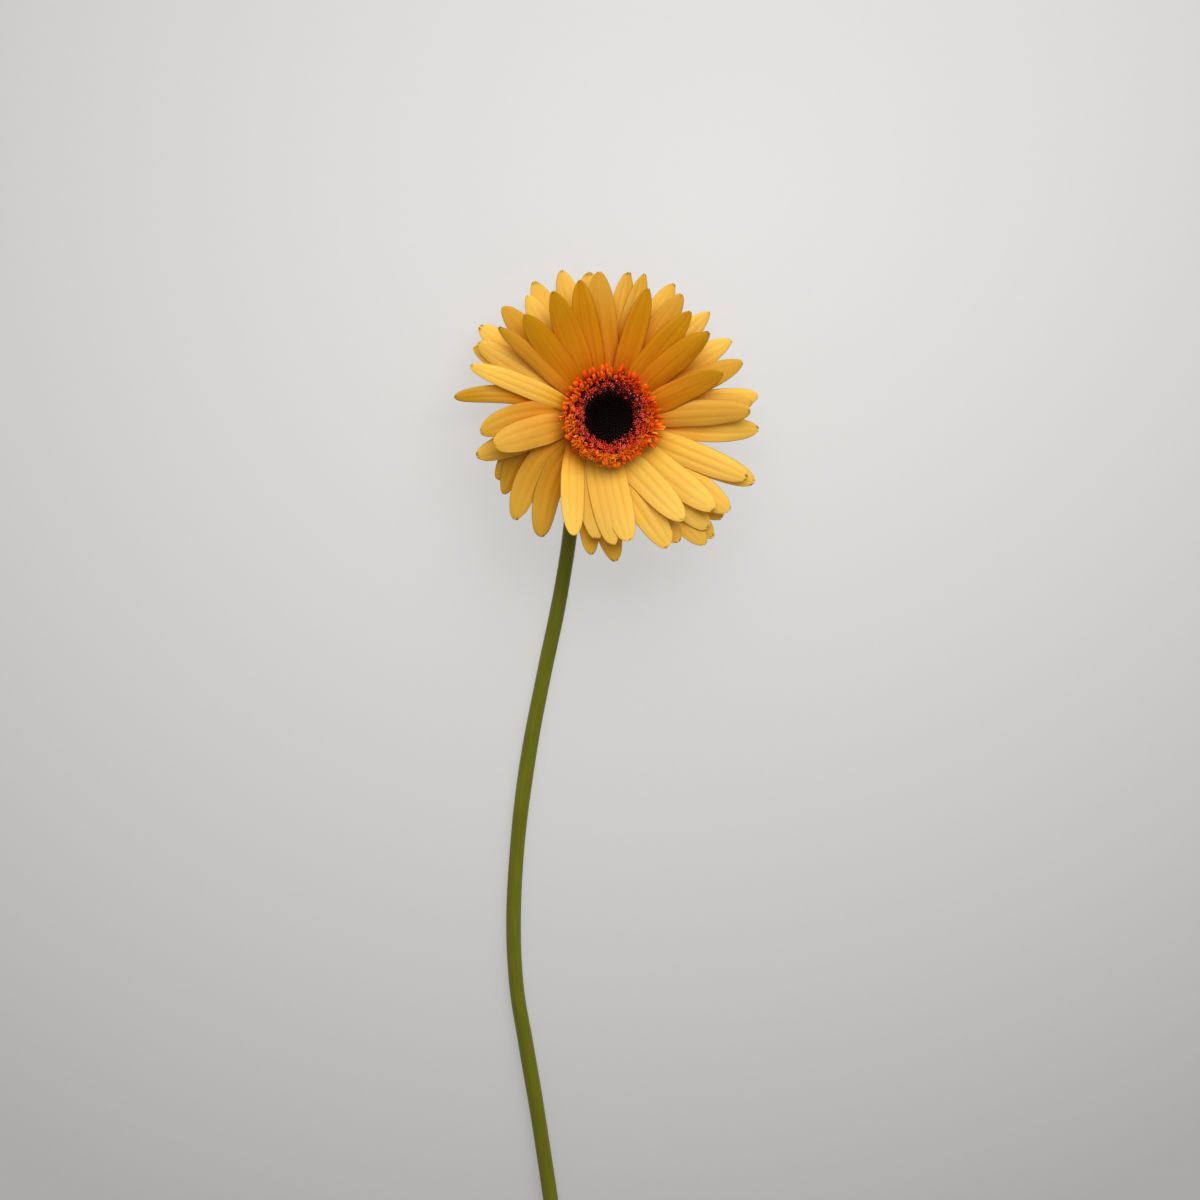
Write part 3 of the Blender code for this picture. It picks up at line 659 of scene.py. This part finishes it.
def petalMaterial():
    made, tree = startMaterial("petalYellow", **{"Specular IOR Level": 0.16})
    across, along = surfaceShares(tree)
    tone, amber, dull, under, smooth = (
        attributeNode(tree, name) for name in ("tone", "amber", "dull", "under", "smooth"))
    veins = bladeNoise(tree, (across, along), tone, rays["veins"])
    streaks = bladeNoise(tree, (across, along), tone, rays["streaks"], 3.0)
    wander = varied(tree, varied(tree, along, streaks, 0.22), tone, 0.08)
    # the amber and dull scales are painted shade, laid on by the attributes
    golden, deepShade, dullShadeColour = (colourScale(tree, wander, rays[key]) for key in ("golden", "amber", "dull"))
    # light falls unevenly through the amber ones
    deepShade = blendColours(tree, rangeNode(tree, streaks, 0.5, 0.7, 0.0, 0.4), deepShade, rays["sunColour"])
    deepShade = blendColours(tree, rangeNode(tree, streaks, 0.34, 0.5, 0.35, 0.0), deepShade, rays["shadeColour"])
    colour = blendColours(tree, dull, blendColours(tree, amber, golden, deepShade), dullShadeColour)
    # painted shade in the two grooves: a little deeper in colour
    aside = mathNode(tree, "ABSOLUTE", mathNode(tree, "MULTIPLY_ADD", across, 2.0, -1.0))
    aside = mathNode(tree, "ABSOLUTE", mathNode(tree, "ADD", aside, -rays["grooveAt"]))
    groove = rangeNode(tree, aside, 0.0, 1.6 * rays["grooveWidth"], 1.0, 0.0)
    fade = rangeNode(tree, along, 0.6, 0.98, 0.2, 0.06)
    fade = mathNode(tree, "MULTIPLY", fade, mathNode(tree, "SUBTRACT", 1.0, smooth))
    colour = blendColours(tree, mathNode(tree, "MULTIPLY", groove, fade), colour, rays["grooveShadeColour"])
    colour = blendColours(tree, rangeNode(tree, veins, 0.3, 0.75, 0.0, 0.14), colour, rays["veinColour"])
    # the underside is paler, but not on the amber ones
    pale = mathNode(tree, "MULTIPLY", under, 0.35)
    pale = mathNode(tree, "MULTIPLY", pale, mathNode(tree, "SUBTRACT", 1.0, amber))
    colour = blendColours(tree, pale, colour, rays["underColour"])
    # small dark specks where a tip has bruised
    specks = bladeNoise(tree, (across, along), tone, rays["specks"], 1.0, 2.0)
    bruise = rangeNode(tree, specks, 0.52, 0.6, 0.0, 0.75)
    bruise = mathNode(tree, "MULTIPLY", rangeNode(tree, along, 0.975, 0.998), bruise)
    colour = blendColours(tree, bruise, colour, rays["bruiseColour"])
    return finishMaterial(made, colour, veins, **rays["finish"])


# a petal's line runs from its root to its tip as seen from the front, moved aside by
# bow * sin(pi t) + shift * (1 - t), at height level + (lift - level) * t^bend. Its half width opens
# smoothly from the root and closes to a toothed tip. Across it lie three ridges between two grooves,
# each a bell curve, on a crown that falls as a^2
def petalPoints(listed, level, bend, front, chance, finer):
    clock, reach, lift, width, bow, shift = np.array(listed, float).T[..., None]
    heave, phase, tipLift, turning, carving, sagging, rippling, ripplePhase = finer.T[..., None]
    clock = np.radians(clock)
    upper = np.cos(clock - math.radians(rays["topClock"]))
    upper = np.clip((upper - 0.15) / 0.5, 0, 1)  # 1 on those at the bloom's top
    smooth = front * upper  # the upright ones in front are almost without grooves
    along = np.sin(np.linspace(0, math.pi / 2, rays["rows"] + 1))

    # as the viewer sees it
    eyeSeen = bloom["eyeHeight"] * np.array((viewerRight @ axis, viewerUp @ axis))
    tip = eyeSeen + reach * np.concatenate((np.sin(clock), np.cos(clock)), -1)
    spread = np.array(rays["spreadPoint"])
    towards = unit(tip - spread)
    inward = -(towards @ spread)[:, None]
    root = spread + towards * (inward + np.sqrt(rays["rootRadius"] ** 2 + inward**2 - spread @ spread))
    bow = bow + rays["bowVaries"] * (2 * chance[:, :1] - 1)
    clockwise = np.stack((towards[:, 1], -towards[:, 0]), -1)
    sideways = bow * np.sin(math.pi * along) + shift * (1 - along)
    seen = root[:, None] + along[:, None] * (tip - root)[:, None]
    seen = seen + sideways[..., None] * clockwise[:, None]

    # its height, and with it the line in space
    lies = np.isnan(lift)
    ground = frontPoint(tip[:, :1], tip[:, 1:], 0.0)[..., 2]
    resting = (-rays["press"] - ground) / (toViewer[2] / (toViewer @ axis))
    lift = np.where(lies, resting, lift)
    height = level + (lift - level) * along**bend
    heaving = np.sin(2.2 * math.pi * along + 3 * phase)
    height = height + heave * rays["heave"] * np.sin(math.pi * along) * heaving
    height = height + rays["tipLift"] * tipLift * easeIn(along, 0.72, 1.0)
    line = frontPoint(seen[..., 0], seen[..., 1], height)
    ways = unit(np.gradient(line, axis=-2))
    roll = np.copysign(rays["roll"], np.sin(clock)) + rays["rollVaries"] * (2 * chance[:, 1:] - 1)
    twist = np.radians(roll) + np.radians(rays["twist"]) * turning * along
    side, upright = lineFrames(line, np.cross(ways, axis), twist)

    # half its width
    closing = np.clip((along - rays["tipStartsAt"]) / (1 - rays["tipStartsAt"]), 0, 1)
    blunt = np.interp(0.25 + 0.25 * phase + 0.6 * upper, (0, 1), rays["tipPowers"][1:])
    closing = (1 - closing ** rays["tipPowers"][0]) ** blunt
    width = width * (1 + rays["widen"] * np.clip(0.3 - np.cos(clock), 0, 1))
    hanging = np.clip((-lift - rays["hangsFrom"]) / 5, 0, 1) * ~lies
    rootShare = rays["rootShare"] * (1 - 0.35 * hanging)
    half = width / 2 * (rootShare + (1 - rootShare) * easeIn(along, 0, rays["fullWidthAt"]))
    half = half * (rays["tipShare"] + (1 - rays["tipShare"]) * closing)

    # its grooves, crown and ripple, and the teeth of its tip
    across, face = bladeStations(rays["columns"])
    fade = easeIn(along, 0.0, 0.15) * (1 - 0.6 * easeIn(along, 0.75, 1.0))
    depth = (rays["groove"] * (1 + rays["grooveVaries"] * carving) * (1 - smooth) * fade)[..., None]
    groove = depth * np.exp(-(((np.abs(across) - rays["grooveAt"]) / rays["grooveWidth"]) ** 2))
    droop = (rays["droop"] + rays["droopVaries"] * sagging)[..., None] * across**2
    wave = np.sin(5 * math.pi * along[:, None] + 6 * ripplePhase[..., None])
    ripple = rays["ripple"] * rippling[..., None] * across**3 * wave
    crown = -groove - droop + ripple
    points = bladePoints(line, side, upright, half, crown, rays["thickness"], across, face)
    wave = math.pi * (2.5 + np.round(sagging[..., None])) * across + 2 * rippling[..., None]
    teeth = 0.5 - 0.5 * np.cos(wave)
    notch = rays["notch"] * (1 + 0.5 * carving)[..., None] * teeth * easeIn(along, 0.9, 1.0)[:, None]
    points = points - notch[..., None] * ways[..., None, :]
    floor = 0.02 + 0.2 * (face > 0) * (1 - across**4)
    points[..., 2] = np.maximum(points[..., 2], floor)

    # painted shade: amber on the inner part by clock angle, dull at the tips of the petals behind and along
    # those that hang
    deepShade, deepShadeTip = (np.interp(np.degrees(clock), *np.array(rays[key]).T) for key in ("deepShade", "deepShadeTip"))
    outer = (1 - front) ** 2 * easeIn(along, 0.35, 0.95)
    amber = deepShade * (1 - outer) * (1 - 0.4 * hanging)
    dull = np.maximum(deepShadeTip * outer, 0.85 * hanging)
    return points, {
        "uv": gridPlaces((across + 1) / 2, along), "under": (1 - face * (1 - across**8)) / 2,
        "smooth": smooth[..., None], "amber": amber[..., None], "dull": dull[..., None]}


def makeRayFlorets():
    material = petalMaterial()
    chance = np.random.default_rng(rays["seed"])
    finer = np.random.default_rng(rays["finerSeed"])
    for name, front in (("frontPetals", 1.0), ("middlePetals", 0.4), ("backPetals", 0.0)):
        level, bend, listed = rays[name]
        count = len(listed)
        points, values = petalPoints(listed, level, bend, front, chance.random((count, 2)),
                                     finer.uniform(-1, 1, (count, 8)))
        piece = loft(name, points, material, tone=finer.uniform(0, 1, (count, 1, 1)), **values)
        fitPiece(piece, "ray_florets")
    bed = turnedPoints(rays["bed"], bloom["bedSegments"])
    piece = loft("petalBed", bed, material, uv=0.3, tone=0.0, under=1.0, amber=0.0, dull=0.0, smooth=0.0)
    fitPiece(piece, "ray_florets")


# trans florets

trans = {
    "bed": ((0.5, 2.0), (13.2, 2.0), (14.4, 2.4), (15.0, 3.8), (14.6, 5.4), (13.6, 6.2), (12.8, 5.6),
            (12.6, 4.0), (12.4, 2.8), (0.5, 2.8)),
    # count, first and last turn in degrees, width, radius of the foot, length, lean in degrees at the
    # foot and at the shoulder
    "straps": (
        (15, 86.0, 126.0, 1.7, 14.4, 7.8, 26.0, 70.0),
        (50, 0.0, 360.0, 1.8, 13.6, 8.6, 18.0, 60.0),
        (46, 0.0, 360.0, 1.4, 13.2, 8.6, 8.0, 48.0),
        (44, 0.0, 360.0, 1.3, 13.0, 8.4, 4.0, 36.0),
        (44, 0.0, 360.0, 1.2, 12.8, 8.0, 1.0, 24.0),
        (44, 0.0, 360.0, 1.1, 12.6, 7.4, -2.0, 8.0),
    ),
    "footHeight": 2.2,
    "shoulderAt": 0.6,  # from here on the tip curls back
    "curl": (160.0, 400.0),  # degrees, and less on the straps at the top, which lean out further
    "topCurl": 0.2,
    "topLean": 14.0,
    "topShorter": 0.15,
    "topWider": 0.12,
    "rows": 26,
    "columns": 6,
    "thickness": 0.2,
    "curls": 300,
    "curlRows": 22,
    "curlColumns": 4,
    "curlWidth": 0.46,
    "curlFoot": (12.8, 17.0),  # least and greatest radius
    "curlTop": ((12.6, 9.4), (14.5, 9.8), (17.0, 7.6)),  # how high a lobe reaches at a radius
    "curlWind": (0.4, 0.85),  # radius of its windings
    "curlTurns": (5, 10),  # radians
    "seed": 23,
    "streaks": (9.0, 3.0, 50.0),
    "colours": ((0.0, (144, 20, 0)), (0.35, (214, 58, 4)), (0.6, (238, 92, 8)), (0.82, (246, 124, 20)),
                (1.0, (255, 178, 70))),
    "finish": {"rough": (0.4, 0.55), "bump": (0.3, 0.0001), "through": 0.35},
}


def transMaterial():
    made, tree = startMaterial("floretOrange", **{"Specular IOR Level": 0.06})
    across, along = surfaceShares(tree)
    tone = attributeNode(tree, "tone")
    streaks = bladeNoise(tree, (across, along), tone, trans["streaks"])
    # lighter towards the tip and the edges: partly the florets' own colour, partly painted highlight
    edge = mathNode(tree, "ABSOLUTE", mathNode(tree, "MULTIPLY_ADD", across, 2.0, -1.0))
    light = mathNode(tree, "MULTIPLY_ADD", mathNode(tree, "POWER", edge, 3.0), 0.25, along)
    light = varied(tree, varied(tree, light, streaks, 0.4), tone, 0.3)
    return finishMaterial(made, colourScale(tree, light, trans["colours"]), streaks, **trans["finish"])


# each strap is a ribbon whose lean from the bloom's axis grows as the square of the way to its
# shoulder and then quickly, so that its tip rolls back; its line is the sum of small steps
# (sin(lean), cos(lean)) in radius and height, and it is turned round its own line
def makeStraps(draw, material):
    along = np.linspace(0, 1, trans["rows"] + 1)
    across, face = bladeStations(trans["columns"])
    past = np.clip((along - trans["shoulderAt"]) / (1 - trans["shoulderAt"]), 0, 1)
    allPoints, allTones = [], []
    for row, (count, first, last, width, footAt, length, low, high) in enumerate(trans["straps"]):
        each = (count, 1)
        share = (np.arange(count) + row / 2 + draw.uniform(-0.35, 0.35, count)) / count
        turn = np.radians(first + (last - first) * share)[:, None]
        top = np.clip(1.5 * np.cos(turn - 0.1), 0, 1)
        lean = low + (high - low) * along**2 + draw.normal(0, 6, each) + draw.normal(0, 12, each) * along
        calm = np.maximum(top, row == 0)
        curl = draw.uniform(*trans["curl"], each) * (1 + (trans["topCurl"] - 1) * calm)
        lean = np.radians(lean + trans["topLean"] * top * along**2 + curl * past**1.4)
        step = length * (1 - trans["topShorter"] * top) * draw.uniform(0.88, 1.1, each) / trans["rows"]
        radius = footAt + np.cumsum(np.sin(lean) * step, axis=1)
        height = trans["footHeight"] + np.cumsum(np.cos(lean) * step, axis=1)
        swung = turn + draw.normal(0, 0.05, each) * along**1.5
        line = bloomPoint(radius, swung, height)
        side = bloomWay(1.0, swung + math.pi / 2, 0.0)
        twist = draw.normal(0, 0.9, each) * along**1.2 + draw.normal(0, 0.2, each)
        side, upright = lineFrames(line, -side, twist * (1 - 0.6 * top))
        half = width / 2 * draw.uniform(0.7, 1.2, each) * (0.5 + 0.5 * easeIn(along, 0, 0.6))
        half = half * (1 - (0.75 - 0.3 * calm) * past**1.5) * (1 + trans["topWider"] * top)
        cupped = draw.uniform(0.1, 0.8, (count, 1, 1)) * easeIn(along, 0.2, 0.8)[:, None]
        allPoints.append(bladePoints(line, side, upright, half, cupped * across**2, trans["thickness"],
                                     across, face))
        # painted shade: deeper red at the top of the ring and a little on its right, and redder on the first
        # row
        paintedRedShade = 1.1 * top + 0.2 * np.clip(np.sin(turn), 0, 1) + 0.2 * (row == 0)
        allTones.append((draw.uniform(0, 1, each) - paintedRedShade)[..., None])
    points, tones = np.concatenate(allPoints), np.concatenate(allTones)
    piece = loft("transStraps", points, material, uv=gridPlaces((across + 1) / 2, along), tone=tones)
    fitPiece(piece, "trans_florets")


# thin lobes: lines that leave the ring between the straps and wind up, rising as they go; round
# the line foot + drift * t they lie at wind * cos(phase) outwards and 1.7 * wind * sin(phase) aside
def makeCurls(draw, material):
    each = (trans["curls"], 1)
    along = np.linspace(0, 1, trans["curlRows"] + 1)
    turn = math.pi + draw.normal(0, 1.25, each)
    foot = draw.uniform(*trans["curlFoot"], each)
    top = np.interp(foot, *np.array(trans["curlTop"]).T)
    radius = foot + draw.uniform(-0.4, 0.6, each) * along
    height = top - 2.4 + draw.uniform(1.4, 3.0, each) * along
    wind = draw.uniform(*trans["curlWind"], each) * easeIn(along, 0.1, 1.0)
    phase = draw.uniform(0, 2 * math.pi, each)
    phase = phase + draw.choice((-1, 1), each) * draw.uniform(*trans["curlTurns"], each) * along
    line = bloomPoint(radius + wind * np.cos(phase), turn, height - 0.8 * along**3)
    sideways = bloomWay(1.0, turn + math.pi / 2, 0.0)
    line = line + (1.7 * wind * np.sin(phase))[..., None] * sideways
    side, upright = lineFrames(line, sideways, 0.0)
    across, face = bladeStations(trans["curlColumns"])
    half = trans["curlWidth"] / 2 * (1 - 0.7 * along**2)
    points = bladePoints(line, side, upright, half, 0 * across, trans["thickness"], across, face)
    # painted shade: deeper red at the top of the ring and a little on its right
    paintedRedShade = 0.8 * np.clip(np.cos(turn - 0.2), 0, 1) + 0.3 * np.clip(np.sin(turn), 0, 1)
    tones = (draw.uniform(-0.6, 1, each) - paintedRedShade)[..., None]
    place = gridPlaces((across + 1) / 2, 0.3 + 0.6 * along)
    fitPiece(loft("transCurls", points, material, uv=place, tone=tones), "trans_florets")


def makeTransFlorets():
    material = transMaterial()
    draw = np.random.default_rng(trans["seed"])
    makeStraps(draw, material)
    makeCurls(draw, material)
    bed = turnedPoints(trans["bed"], bloom["bedSegments"])
    fitPiece(loft("transBed", bed, material, uv=0.1, tone=0.2), "trans_florets")


# disc florets

disc = {
    "bed": ((0.5, 3.1), (12.0, 3.1), (12.4, 3.3), (12.4, 3.7), (12.0, 3.9), (0.5, 3.9)),
    "rows": ((36, 9.45), (40, 10.15), (44, 10.85), (46, 11.55), (48, 12.2)),  # count, radius
    "rise": (3.5, 6.6, 9.7, 0.9),  # foot, then the star's height at a radius and its slope
    # share of the way up, radius, how far the lobes change it, step at the lobes, light
    "floret": ((0.0, 0.3, 0.0, 0.0, 0.0), (0.5, 0.32, 0.0, 0.0, 0.1), (0.88, 0.4, 0.0, 0.0, 0.35),
               (0.97, 0.56, 0.22, 0.0, 0.75), (1.0, 0.7, 0.5, -0.12, 1.0), (1.03, 0.5, 0.25, 0.06, 0.7),
               (0.98, 0.26, 0.0, 0.0, 0.2), (0.9, 0.05, 0.0, 0.0, 0.0)),
    "style": ((0.0, 0.1, 0.0, 0.0, 0.0), (0.5, 0.12, 0.0, 0.0, 0.35), (0.8, 0.2, 0.0, 0.0, 0.9),
              (1.0, 0.07, 0.0, 0.0, 1.0)),
    "sides": 10,
    "styleSides": 6,
    "styleShare": 0.6,  # of the florets show the light tip of their style
    "styleTall": (0.45, 1.2),
    "styleSunk": 0.25,
    "seed": 31,
    "lighterOut": (0.4, 10.2, 2.4),  # amount, from which radius and over how many millimetres
    "paintedShadeTop": 0.4,
    "colours": ((0.0, (66, 5, 2)), (0.3, (158, 20, 8)), (0.65, (224, 48, 20)), (1.0, (248, 98, 58))),
    "styleColours": ((0.0, (110, 12, 8)), (0.6, (214, 80, 60)), (1.0, (255, 178, 156))),
    "finish": {"rough": (0.3, 0.5), "bump": (0.3, 0.0001), "through": 0.15},
}


def discMaterial():
    made, tree = startMaterial("floretDarkRed", **{"Specular IOR Level": 0.2})
    grain = grainNode(tree, 2200.0)
    light = varied(tree, attributeNode(tree, "light"), grain, 0.35)
    return finishMaterial(made, colourScale(tree, light, disc["colours"]), grain, **disc["finish"])


def styleMaterial():
    made, tree = startMaterial("styleTip", **{"Specular IOR Level": 0.25})
    colour = colourScale(tree, attributeNode(tree, "light"), disc["styleColours"])
    return finishMaterial(made, colour, grainNode(tree, 3000.0, 1.0), rough=(0.3, 0.45))


def makeDiscFlorets():
    draw = np.random.default_rng(disc["seed"])
    foot, level, ringAt, slope = disc["rise"]
    turns, rings = [], []
    for row, (count, radius) in enumerate(disc["rows"]):
        turns.append((np.arange(count) + row / 2 + draw.uniform(-0.25, 0.25, count)) * 2 * math.pi / count)
        rings.append(radius + draw.uniform(-0.25, 0.25, count))
    turn, ring = np.concatenate(turns), np.concatenate(rings)
    count = len(turn)
    top = level + slope * (ring - ringAt) + draw.uniform(-0.45, 0.35, count)
    spoke = bloomWay(1.0, turn, 0.0)
    up = unit(axis + draw.uniform(-0.12, 0.16, count)[:, None] * spoke + draw.normal(0, 0.07, (count, 3)))
    feet = bloomPoint(ring, turn, foot)
    size = draw.uniform(0.85, 1.15, count)
    points = turnedMany(disc["floret"], feet, up, top - foot, size, disc["sides"], draw.uniform(0, 6, count))
    amount, start, over = disc["lighterOut"]
    lightUp = np.array(disc["floret"])[:, 4:] * draw.uniform(0.1, 1.3, (count, 1, 1))
    light = lightUp + amount * (ring[:, None, None] - start) / over
    # painted shade: the florets at the top of the ring are darker
    light = light - disc["paintedShadeTop"] * np.clip(np.cos(turn), 0, 1)[:, None, None]
    material = discMaterial()
    fitPiece(loft("discFlorets", points, material, light=light), "disc_florets")

    shown = draw.random(count) < disc["styleShare"]
    count = shown.sum()
    tall = draw.uniform(*disc["styleTall"], count)
    start = feet[shown] + ((top - foot)[shown] - disc["styleSunk"])[:, None] * up[shown]
    points = turnedMany(disc["style"], start, up[shown], tall, np.ones(count), disc["styleSides"],
                        np.zeros(count))
    light = np.array(disc["style"])[:, 4:] * draw.uniform(0.5, 1, (count, 1, 1))
    fitPiece(loft("discStyles", points, styleMaterial(), light=light), "disc_florets")
    bed = turnedPoints(disc["bed"], bloom["bedSegments"])
    fitPiece(loft("discBed", bed, material, light=0.0), "disc_florets")


# eye

eye = {
    "bowl": ((0.5, 4.2), (8.3, 4.2), (8.6, 4.6), (8.5, 5.6), (8.2, 5.9), (7.2, 5.55), (5.6, 5.1),
             (2.8, 4.7), (0.5, 4.5)),
    "surface": ((0.0, 4.5), (2.8, 4.7), (5.6, 5.1), (8.3, 5.9)),
    "buds": 220,
    "fieldRadius": 8.6,
    # share of its height, radius, depth of its five flutes, no step, light
    "bud": ((-0.3, 0.2, 0.0, 0.0, 0.0), (0.1, 0.34, 0.04, 0.0, 0.1), (0.45, 0.38, 0.08, 0.0, 0.45),
            (0.75, 0.28, 0.16, 0.0, 0.75), (0.92, 0.16, 0.2, 0.0, 0.92), (1.0, 0.04, 0.0, 0.0, 1.0)),
    "sides": 10,
    "seed": 41,
    "colours": ((0.0, (4, 2, 1)), (0.4, (16, 4, 2)), (0.7, (44, 8, 6)), (1.0, (84, 16, 10))),
    "finish": {"rough": (0.5, 0.7), "bump": (0.3, 0.0001)},
}


def eyeMaterial():
    made, tree = startMaterial("budMaroon", **{"Specular IOR Level": 0.04})
    grain = grainNode(tree, 2600.0)
    light = varied(tree, attributeNode(tree, "light"), grain, 0.4)
    return finishMaterial(made, colourScale(tree, light, eye["colours"]), grain, **eye["finish"])


# buds at the golden angle, radius R * sqrt(k / n), standing on the bowl
def makeEye():
    material = eyeMaterial()
    draw = np.random.default_rng(eye["seed"])
    count = eye["buds"]
    number = np.arange(count)
    ring = eye["fieldRadius"] * np.sqrt((number + 0.5) / count)
    turn = number * math.pi * (3 - math.sqrt(5))
    feet = bloomPoint(ring, turn, np.interp(ring, *np.array(eye["surface"]).T))
    share = ring / eye["fieldRadius"]
    tall = 0.75 + 0.45 * share + draw.uniform(-0.12, 0.12, count)
    up = unit(axis - 0.25 * share[:, None] * bloomWay(1.0, turn, 0.0) + draw.normal(0, 0.06, (count, 3)))
    size = draw.uniform(0.85, 1.1, count)
    points = turnedMany(eye["bud"], feet, up, tall, size, eye["sides"], draw.uniform(0, 6, count))
    light = np.array(eye["bud"])[:, 4:] * (0.25 + 0.6 * share[:, None, None] ** 3)
    light = light * draw.uniform(0.7, 1.2, (count, 1, 1))
    fitPiece(loft("eyeBuds", points, material, light=light), "disc_eye")
    bowl = turnedPoints(eye["bowl"], bloom["bedSegments"])
    fitPiece(loft("eyeBowl", bowl, material, light=0.0), "disc_eye")


# floor, light and camera

studio = {
    "floorSize": 30.0,  # metres
    "floorBelow": 0.00005,
    "floorColour": (120, 119, 118),
    "fleckColour": (116, 115, 114),
    "glowColour": (222, 221, 219),
    "glow": (0.785, 1.52, 1.4, 0.34),  # a - b * distance^c in metres, and the least that is left
    "brightAt": (0.04, 0.195),
    "worldColour": (228, 228, 228),
    "worldStrength": 0.44,
    "worldSeen": 0.85,  # the backdrop is paler where it is seen than as a light
    "keyWay": (-0.05, 0.8, 0.6),
    "keyDistance": 1.6,
    "keySize": (1.6, 1.0),
    "keyWatts": 36.0,
    "aim": (-1.8, -64.5),  # what the camera looks at, in millimetres from the bloom's centre as it sees it
    "cameraDistance": 8.0,
    "sensor": 36.0,
    "viewHeight": 0.42,  # metres across the frame
}


# the floor glows a little, and less with the distance from its brightest place
def floorMaterial():
    made, tree = startMaterial("paleFloor", Roughness=0.9, **{
        "Emission Color": linearColour(*studio["glowColour"])})
    shade = blendColours(tree, grainNode(tree, 260.0, 3.0), studio["floorColour"], studio["fleckColour"])
    most, fall, power, least = studio["glow"]
    place = addNode(tree, "TexCoord").outputs["Object"]
    aside = addNode(tree, "VectorMath", {0: place, 1: (*studio["brightAt"], 0.0)}, operation="DISTANCE")
    lost = mathNode(tree, "MULTIPLY", mathNode(tree, "POWER", aside.outputs["Value"], power), -fall)
    glow = mathNode(tree, "MAXIMUM", mathNode(tree, "ADD", lost, most), least)
    tree.links.new(glow, tree.nodes["Principled BSDF"].inputs["Emission Strength"])
    return finishMaterial(made, shade)


# puts an object at a place with its -Z looking against a direction and its Y near another
def turnObject(thing, place, back, up):
    back = unit(back)
    right = unit(np.cross(up, back))
    columns = np.eye(4)
    columns[:3] = np.stack((right, np.cross(back, right), back, place), 1)
    thing.matrix_world = Matrix(columns.tolist())
    bpy.context.scene.collection.objects.link(thing)


def makeStudio():
    half = studio["floorSize"] / 2
    corners = [(x * half, y * half, -studio["floorBelow"]) for x, y in ((-1, -1), (1, -1), (1, 1), (-1, 1))]
    mesh = bpy.data.meshes.new("floor")
    mesh.from_pydata(corners, [], [(0, 1, 2, 3)])
    mesh.materials.append(floorMaterial())
    floor = bpy.data.objects.new("floor", mesh)
    bpy.context.scene.collection.objects.link(floor)

    world = bpy.data.worlds.new("studio")
    world.use_nodes = True
    tree = world.node_tree
    background = tree.nodes["Background"]
    background.inputs["Color"].default_value = linearColour(*studio["worldColour"])
    seen = addNode(tree, "LightPath").outputs["Is Camera Ray"]
    strengths = {0: seen, 3: studio["worldStrength"], 4: studio["worldSeen"]}
    tree.links.new(addNode(tree, "MapRange", strengths).outputs[0], background.inputs["Strength"])
    bpy.context.scene.world = world

    key = bpy.data.lights.new("key", "AREA")
    key.shape = "RECTANGLE"
    key.size, key.size_y = studio["keySize"]
    key.energy = studio["keyWatts"]
    lamp = bpy.data.objects.new("key", key)
    way = unit(studio["keyWay"])
    turnObject(lamp, centre * millimetre + studio["keyDistance"] * way, way, (0, 0, 1))
    lamp.visible_camera = False


def makeCamera():
    lens = bpy.data.cameras.new("camera")
    lens.sensor_width = studio["sensor"]
    lens.lens = studio["sensor"] * studio["cameraDistance"] / studio["viewHeight"]
    camera = bpy.data.objects.new("camera", lens)
    aim = centre + studio["aim"][0] * viewerRight + studio["aim"][1] * viewerUp
    turnObject(camera, aim * millimetre + studio["cameraDistance"] * toViewer, toViewer, viewerUp)
    bpy.context.scene.camera = camera


makeStem()
makeInvolucre()
makeRayFlorets()
makeTransFlorets()
makeDiscFlorets()
makeEye()
makeStudio()
makeCamera()
bpy.context.scene.view_settings.view_transform = "Standard"
print("floor, light and camera placed")
